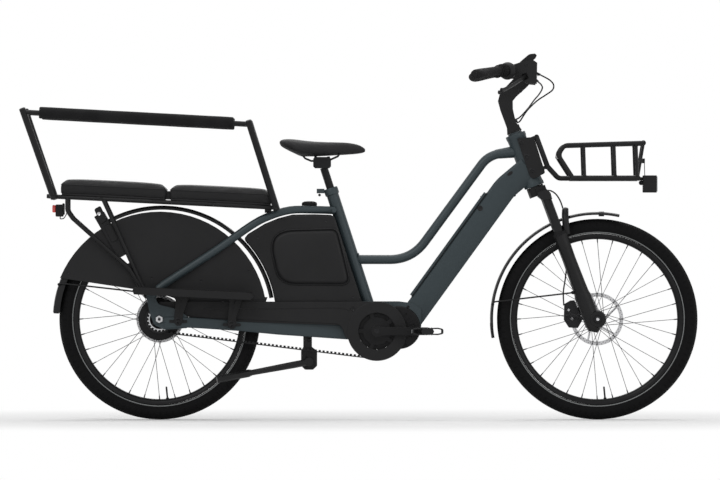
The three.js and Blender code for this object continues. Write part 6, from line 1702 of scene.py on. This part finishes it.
def headlight(f):
    """The headlight's case on its hinge, its reflector and its lens."""
    case, lens, bolts, bowl = Shape(), Shape(), Shape(), Shape()
    case.block((1626, -32, 764), (1674, 32, 822))
    front = max(case.bm.faces, key=lambda g: g.calc_center_median().x)
    bmesh.ops.inset_region(case.bm, faces=[front], thickness=4)
    bmesh.ops.translate(case.bm, vec=(-5, 0, 0), verts=front.verts)
    case.block((1613.8, -16, 805), (1627, 16, 816))
    case.sweep([(1621, -15, 797), (1621, 15, 797)], 8, 24, side=AHEAD)
    case.piece("headlight_case", f.moulded, bevel=2.6, segments=4, smooth=40,
               replaces=["headlight"])
    bowl.turn([(0, -5.8), (8, -5.6), (20, -4.2), (24, -1.6), (24, -1), (20, -3.6), (8, -5),
               (0, -5.2)], (0, 0, 0), 40, closed=False,
              place=Matrix.Translation((1673.6, 0, 793)) @ Matrix.Rotation(-pi / 2, 4, "Z"))
    bowl.bolt((1667.4, 0, 793), 6, 1.5, (1, 0, 0), 0)
    bowl.piece("headlight_reflector", f.steel, smooth=40)
    lens.block((1672.2, -28.2, 767.6), (1675.6, 28.2, 818.4))
    lens.piece("headlight_lens", f.clear, bevel=1.3, segments=3, smooth=40)
    bolts.screws([(1621, 15, 797, 5.4, 2.4)])
    bolts.piece("headlight_bolts", f.dark, smooth=30)


def fork(f):
    """The crown's caps, the two lower legs, their arch, bosses and seals."""
    caps, lowers, seals, bolts = Shape(), Shape(), Shape(), Shape()
    for side in (-1, 1):
        caps.bolt(head(22, side * 62, 461), 12.5, 7, HEAD_UP, 0.45)
        path = eased([head(w, side * 62, u) for u, w, _, _ in FORK_LEG], 5)
        lowers.sweep(path, spread([leg[2:] for leg in FORK_LEG], len(path)), 32)
        arch = [head(w, side * y, u) for w, y, u in FORK_ARCH]
        lowers.sweep(eased(arch, 8), (10.5, 7), 20, side=HEAD_AHEAD)
        boss = [(0, side * 42), (26, side * 42), (29, side * 46), (29, side * 78),
                (25, side * 83), (13, side * 83), (12, side * 80), (0, side * 80)]
        lowers.turn(boss, FRONT_AXLE, 56, closed=False)
        foot, top = head(24, side * 62, 308), head(24, side * 62, 322)
        seals.sweep([foot, head(23, side * 62, 317), head(22.4, side * 62, 318), top],
                    [(21, 25.8), (20.5, 24), (18, 18), (17, 17)], 32)
        for u in (96, 118):
            bolts.bolt(head(24, side * 81.5, u), 3, 1, (0, side, 0))
    tab = [(-42, 20), (-42, 72), (5, 80), (5, 12)]
    lowers.plate(tab, 44, 56, 6, 4, place=HEAD)
    lowers.piece("fork_lower_legs", f.powder, "fork_lowers", bevel=1.0, smooth=50, limit=50,
                 replaces=["fork_lowers"])
    seals.piece("fork_seals", f.rubber, "fork_lowers", smooth=50)
    caps.piece("fork_top_caps", f.alloy, "steering", smooth=30)
    bolts.piece("fork_leg_screws", f.dark, "fork_lowers", smooth=30)


def front_brake(f):
    """The front brake's bolts and the hose down to its caliper."""
    bolts, hose = Shape(), Shape()
    for w, u in ((-30, 30), (-30, 62)):
        bolts.bolt(head(w, 56, u), 5, 4, (0, 1, 0))
        bolts.bolt(head(w - 6, 31, u), 4.6, 2.4, (0, -1, 0))
    bolts.screws([(1473, 91, 338, 5, 1.4, 0.6)])
    bolts.piece("front_brake_bolts", f.steel, "fork_lowers", smooth=30)
    path = eased([head(4, 12, 468), (1318, 30, 770), (1350, 52, 735), (1368, 66, 660),
                  (1374, 70, 560), (1368, 66, 483), (1360, 50, 430), head(-46, 38, 82)], 8)
    hose.sweep(path, 2.5, 12, side=UP)
    made = hose.piece("front_brake_hose_lower", f.hose, None, smooth=50)
    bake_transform(made)


class BIKE_OT_front(bpy.types.Operator):
    """Makes the front rack, the headlight, the suspension fork and its brake's bolts and hose"""
    bl_idname = "bike.front"
    bl_label = "Front"

    def execute(self, context):
        f = finishes(context)
        front_rack(f)
        headlight(f)
        fork(f)
        front_brake(f)
        return {"FINISHED"}


# ---- bar, grips, levers and display

BAR_U = 853.3
BAR = [(117, 0, 0), (117, 36, 0), (62, 140, 27), (22, 200, 44), (-59, 330, 58)]
GRIP_RINGS = 44
GRIP = [(0, 16, 17.6), (0.04, 16, 16), (0.25, 15.6, 15.6), (0.45, 16, 16.6), (0.6, 16.4, 18.6),
        (0.72, 16.8, 21.6), (0.85, 16.8, 23.6), (0.95, 16.6, 24), (1, 15.2, 21), (1.028, 11, 15)]
LEVER = [(98, 147, -4), (80, 175, -8), (46, 225, -17), (14, 270, -22), (2, 288, -20)]
HOSE_RIGHT = [(146, -139, 836), (157, -139, 824), (170, -138, 808), (176, -130, 790),
              (167, -112, 775), (139, -84, 767), (106, -56, 759), (66, -26, 741),
              (34, -12, 718), (26, -10, 714), (18.8, -10, 714)]
HOSE_LEFT = [(137, 139, 819), (143, 139, 806), (142, 134, 794), (125, 118, 779),
             (100, 90, 765), (74, 56, 748), (48, 28, 734), (34, 14, 728), (26, 10, 726),
             (18.8, 10, 726)]


def on_bar(side):
    """The place on the handlebar that far to the side."""
    for a, b in zip(BAR, BAR[1:]):
        if abs(side) <= b[1]:
            break
    t = (abs(side) - a[1]) / (b[1] - a[1])
    w, y, u = (p + (q - p) * t for p, q in zip(a, b))
    return head(w, y if side > 0 else -y, BAR_U + u)


def stem(f):
    """The stem's bolts and the ring under its foot."""
    bolts, cap = Shape(), Shape()
    for u in (702, 722):
        bolts.bolt(head(18, 0, u), 6, 5, HEAD_AHEAD)
    for side in (-1, 1):
        bolts.bolt(head(66, side * 20.6, 812), 8, 2.6, (0, side, 0))
        for du in (-13, 13):
            bolts.bolt(head(139, side * 13, BAR_U + du), 4, 3, HEAD_AHEAD)
    bolts.piece("stem_bolts", f.dark, "steering", smooth=30)
    cap.sweep([head(0, 0, u) for u in (686.3, 691, 693)], [24, 24, 22], 40)
    cap.piece("stem_foot_ring", f.alloy, "steering", bevel=0.6, smooth=40)


def handlebar(f):
    """The handlebar in one sweep, and the ribbed grips with their end caps."""
    bar, caps = Shape(), Shape()
    half = rounded([head(w, y, BAR_U + u) for w, y, u in BAR], [60, 60, 40], 8)
    bar.sweep([Vector((p.x, -p.y, p.z)) for p in reversed(half[1:])] + half, 11.1, 28, side=UP)
    bar.sweep([head(117, -36, BAR_U), head(117, 36, BAR_U)], 15.9, 40, side=AHEAD)
    bar.piece("handlebar_tube", f.alloy, "steering", smooth=50, replaces=["handlebar"])
    for side, name in ((-1, "grip_right"), (1, "grip_left")):
        grip = Shape()
        start, end = on_bar(side * 204), on_bar(side * 330)
        shares = [*(i / GRIP_RINGS for i in range(GRIP_RINGS + 1)), 1.012, 1.028]
        places, sizes = [], []
        for n, at in enumerate(shares):
            i = max(k for k, g in enumerate(GRIP) if g[0] <= at)
            a, b = GRIP[i], GRIP[min(i + 1, len(GRIP) - 1)]
            t = 0 if b[0] == a[0] else (at - a[0]) / (b[0] - a[0])
            rib = 0.5 if 2 < n < 42 and n % 4 < 2 else 0
            places.append(start + (end - start) * at)
            sizes.append((a[1] + (b[1] - a[1]) * t - rib, a[2] + (b[2] - a[2]) * t - rib))
        grip.sweep(places, sizes, 28, side=UP)
        on = (end - start).normalized()
        grip.sweep([start - on * 0.2, start + on * 0.8, start + on * 4, start + on * 5],
                   [(17, 18), (19, 19.6), (19, 19.6), (17, 17.6)], 32, side=UP)
        grip.piece(name + "_rubber", f.rubber, "steering", smooth=50, replaces=[name])
        caps.bolt(end + on * 3.4, 9, 2.2, tuple(on), 0.3)
    caps.piece("grip_end_caps", f.alloy, "steering", smooth=30)


def brake_levers(f):
    """The two lever blades and the bolts of their housings."""
    bolts = Shape()
    for side, name in ((-1, "right"), (1, "left")):
        blade = Shape()
        path = eased([head(w, side * y, BAR_U + u) for w, y, u in LEVER], 6)
        sizes = [(7.6, 4.6), (6.6, 4.6), (6.2, 4.2), (6.6, 4.4), (7.2, 5)]
        blade.sweep(path, spread(sizes, len(path)), 20, side=UP)
        blade.piece("brake_blade_" + name, f.alloy, "lever_" + name, bevel=0.8,
                    smooth=50, limit=50, replaces=["brake_lever_" + name])
        for w, u in ((66, 20), (66, -12), (112, 30)):
            bolts.bolt(head(w, side * 150, BAR_U + u), 4.2, 2, (0, side, 0))
        bolts.bolt(head(96, side * 139, BAR_U + 43), 6, 3.5, HEAD_UP)
    bolts.piece("brake_housing_bolts", f.dark, "steering", smooth=30)


def shifter(f):
    """The shifter's fixed pod and its ribbed turning sleeve."""
    sleeve, pod = Shape(), Shape()
    start, end = on_bar(-176), on_bar(-199)
    on = (end - start).normalized()
    places = [on_bar(-s) for s in (152, 153.5, 157, 163, 169, 173, 175)]
    pod.sweep(places, [(r, r + 3) for r in (17, 23, 28, 30, 28, 24, 21)], 40, side=UP)
    pod.piece("twist_shifter_pod", f.moulded, "steering", bevel=1.0, smooth=50)
    turn = on.to_track_quat("Z", "Y").to_matrix().to_4x4()
    for i in range(24):
        a = 2 * pi * i / 24
        out = turn.to_3x3() @ Vector((cos(a), sin(a), 0))
        sleeve.sweep([start + out * 19.4, start + on * 3 + out * 21.6,
                      end - on * 3 + out * 20.2, end + out * 18], 1.7, 8, side=tuple(out))
    sleeve.sweep([start + on * 0.5, start + on * 4, end - on * 4, end], [20, 21, 19.6, 18], 32,
                 side=UP)
    sleeve.piece("twist_shifter_ribs", f.rubber, "shifter", smooth=50)


def display(f):
    """The display's bezel and glass, and the keypad beside the left grip."""
    glass, bezel, keys = Shape(), Shape(), Shape()
    low, high = head(92 + 0.1 * 68, 0, BAR_U + 47.2), head(92 + 0.68 * 68, 0, BAR_U + 61.4)
    along = (high - low).normalized()
    out = Vector((-along.z, 0, along.x))
    for shape, grow, rise, wide in ((bezel, 0, 0.9, 27.5), (glass, -2.4, 1.8, 25)):
        a, b = low - along * grow, high + along * grow
        rim = [a + out * -1, b + out * -1, b + out * rise, a + out * rise]
        shape.plate([(p.x, p.z) for p in rim], -wide, wide)
    bezel.piece("display_bezel", f.glossy, "steering", bevel=0.7, smooth=40)
    glass.piece("display_glass", f.glass, "steering", bevel=0.5, smooth=40)
    at = on_bar(108)
    keys.sweep([on_bar(100), on_bar(116)], 14.2, 28, side=UP)
    for turn in (-5, 1, 7):
        keys.bolt(at + Vector((turn * 0.4 - 4, turn * 0.9, 13.2)), 2.6, 1.8, (-0.3, 0, 1), 0)
    keys.piece("display_keypad", f.moulded, "steering", bevel=0.5, smooth=40)


class BIKE_OT_cockpit(bpy.types.Operator):
    """Makes the stem's bolts, handlebar, grips, brake levers, shifter, display and hoses"""
    bl_idname = "bike.cockpit"
    bl_label = "Cockpit"

    def execute(self, context):
        f = finishes(context)
        stem(f)
        handlebar(f)
        brake_levers(f)
        shifter(f)
        display(f)
        for name, line in (("brake_hose_right", HOSE_RIGHT), ("brake_hose_left", HOSE_LEFT)):
            hose = Shape()
            hose.sweep(eased([head(*p) for p in line], 5), 2.5, 14, side=UP)
            hose.piece(name + "_line", f.hose, "steering", smooth=50, replaces=[name])
        return {"FINISHED"}


# ---- footrests, stand and rear axle

FOOTREST_BOLTS = ((64, 332), (244, 321))


def footrests(f):
    """The rubber treads, the brackets and the bolts of both footrests."""
    bolts, plates = Shape(), Shape()
    for side, name in ((-1, "right"), (1, "left")):
        tread = Shape()
        for i in range(7):
            y = side * (94 + i * 12)
            ends = [(-74, y, 446.2), (309, y, 428.1)]
            tread.sweep(ends, (2.6, 1.4), 10)
        tread.piece("footrest_tread_" + name, f.rubber, smooth=60)
        for x, z in FOOTREST_BOLTS:
            taper = [(x - 15, z - 4), (x - 6, z - 16), (x + 8, z - 15), (x + 16, z),
                     (x + 8, 400), (x + 24, 418), (x - 20, 420), (x - 8, 400)]
            plates.plate(taper, side * 81.8, side * 88.6, 4, 3)
            plates.plate([(x - 30, z - 6), (x + 30, z - 7), (x + 30, z + 3), (x - 30, z + 4)],
                         side * 79.6, side * 84, 3, 3)
    for x, z in FOOTREST_BOLTS:
        bolts.screws([(x, 89.2, z, 12.5, 2.2, 0), (x, 91.4, z, 8, 3.4)])
    bolts.screws([(22, 89.2, 404, 4.4, 2.2), (214, 89.2, 396, 4.4, 2.2)])
    bolts.piece("footrest_bolts", f.dark, smooth=30)
    plates.piece("footrest_brackets", f.powder, bevel=0.8, smooth=35)


def stand(f):
    """The bolts of the stand's bracket."""
    bolts = Shape()
    bolts.screws([(503, 28.2, 236, 6, 3), (503, 28.2, 268, 6, 3)])
    bolts.piece("kickstand_mount_bolts", f.dark, smooth=30)


def rear_brake(f):
    """The bolts of the rear axle and of the rear brake's caliper."""
    bolts = Shape()
    bolts.screws([(0, 86, 338, 4.6, 1.2, 0.6)])
    for turn in (12, 36):
        bolts.bolt(round_by(REAR_AXLE, turn, 82, 64.5), 4.6, 3, (0, 1, 0))
    bolts.piece("rear_brake_bolts", f.dark, smooth=30)


class BIKE_OT_feet(bpy.types.Operator):
    """Makes the footrests' treads, brackets and bolts, and those of the stand and rear brake"""
    bl_idname = "bike.feet"
    bl_label = "Footrests and stand"

    def execute(self, context):
        f = finishes(context)
        footrests(f)
        stand(f)
        rear_brake(f)
        return {"FINISHED"}
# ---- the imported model's own shapes

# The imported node, the finished piece, its body and its finish, then the width and the steps of
# its rounded edges, and the angles in degrees that stay smooth and that are rounded.
MODEL_PIECES = (
    ("rear_rotor", "rear_disc", "rear_wheel", "steel", 0.3, 2, 30, 30),
    ("front_rotor", "front_disc", "front_wheel", "steel", 0.3, 2, 30, 30),
    ("motor_unit", "drive_unit_case", "frame", "alloy", 2.2, 3, 30, 30),
    ("crank_left", "crank_arm_left", "crank", "alloy", 2.4, 3, 35, 30),
    ("crank_right", "crank_arm_right", "crank", "alloy", 1.1, 3, 35, 30),
    ("skirt_right", "side_skirt_right", "frame", "sheet", 0.8, 2, 30, 30),
    ("skirt_left", "side_skirt_left", "frame", "sheet", 0.8, 2, 30, 30),
    ("ring_lock", "ring_lock_case", "frame", "moulded", 1.6, 3, 30, 30),
    ("lock_bolt", "ring_lock_bar", "lock_bolt", "steel", 0.6, 2, 50, 30),
    ("saddle", "saddle_top", "seatpost", "saddle", 0, 2, 80, 30),
    ("saddle_rails", "saddle_rail_bars", "seatpost", "dark", 0.4, 2, 60, 30),
    ("seatpost", "seatpost_tube", "seatpost", "alloy", 1.2, 2, 40, 30),
    ("fork_crown", "fork_crown_body", "steering", "powder", 2.2, 4, 35, 30),
    ("front_caliper", "front_caliper_body", "fork_lowers", "dark", 1.6, 3, 35, 30),
    ("front_axle", "front_axle_bar", "fork_lowers", "dark", 0.8, 2, 40, 30),
    ("stem", "stem_body", "steering", "powder", 4.5, 5, 40, 14),
    ("brake_body_right", "brake_housing_right", "steering", "moulded", 3.2, 4, 45, 18),
    ("brake_body_left", "brake_housing_left", "steering", "moulded", 3.2, 4, 45, 18),
    ("twist_shifter", "twist_shifter_core", "shifter", "moulded", 1.0, 2, 40, 30),
    ("display", "display_case", "steering", "moulded", 2.6, 4, 40, 16),
    ("footrest_right", "footrest_board_right", "frame", "powder", 3.0, 4, 40, 30),
    ("footrest_left", "footrest_board_left", "frame", "powder", 3.0, 4, 40, 30),
    ("kickstand_legs", "kickstand_tubes", "kickstand", "powder", 1.2, 3, 45, 30),
    ("kickstand_bracket", "kickstand_mount", "frame", "powder", 2.0, 3, 40, 30),
    ("rear_caliper", "rear_caliper_body", "frame", "dark", 1.6, 3, 35, 30),
    ("rear_axle", "rear_axle_bar", "frame", "steel", 0.8, 2, 40, 30),
)
# The nodes whose flat faces are kept finer than DISSOLVED, and the rounds of subdivision.
FINE = {"rear_rotor": 0, "front_rotor": 0, "crank_right": 0, "saddle": 0.01}
SUBDIVIDED = {"saddle": 2}


class BIKE_OT_model(bpy.types.Operator):
    """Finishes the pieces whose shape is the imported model's own"""
    bl_idname = "bike.model"
    bl_label = "Model's own pieces"

    def execute(self, context):
        f = finishes(context)
        for node, name, body, finish, bevel, segments, smooth, limit in MODEL_PIECES:
            Shape(node, angle=FINE.get(node, DISSOLVED)).piece(
                name, getattr(f, finish), body, bevel, segments, smooth, SUBDIVIDED.get(node, 0),
                [node], facing=False, limit=limit)
        return {"FINISHED"}


# ---- panel and run

OPERATORS = (BIKE_OT_stage, BIKE_OT_wheels, BIKE_OT_frame, BIKE_OT_drive, BIKE_OT_box,
             BIKE_OT_deck, BIKE_OT_guards, BIKE_OT_seats, BIKE_OT_front, BIKE_OT_cockpit,
             BIKE_OT_feet, BIKE_OT_model)
GROUPS = (BikeColours, BikeWheels, BikeSeats, BikeStage, BikeProperties)


class BIKE_PT_panel(bpy.types.Panel):
    """Sizes, colours and steps of the cargo bicycle"""
    bl_idname = "BIKE_PT_panel"
    bl_label = "Cargo bicycle"
    bl_space_type = "VIEW_3D"
    bl_region_type = "UI"
    bl_category = "Cargo bike"

    def draw(self, context):
        bike = context.scene.bike
        for label, group in (("Colours", bike.colours), ("Wheels", bike.wheels),
                             ("Seats", bike.seats), ("Stage", bike.stage)):
            box = self.layout.box()
            box.label(text=label)
            for name in group.__annotations__:
                box.prop(group, name)
        for kind in OPERATORS:
            self.layout.operator(kind.bl_idname)


def register():
    for kind in (*GROUPS, *OPERATORS, BIKE_PT_panel):
        bpy.utils.register_class(kind)
    bpy.types.Scene.bike = PointerProperty(type=BikeProperties)


def unregister():
    del bpy.types.Scene.bike
    for kind in reversed((*GROUPS, *OPERATORS, BIKE_PT_panel)):
        bpy.utils.unregister_class(kind)


def main():
    register()
    for kind in OPERATORS:
        group, name = kind.bl_idname.split(".")
        getattr(getattr(bpy.ops, group), name)()


if __name__ == "__main__":
    main()
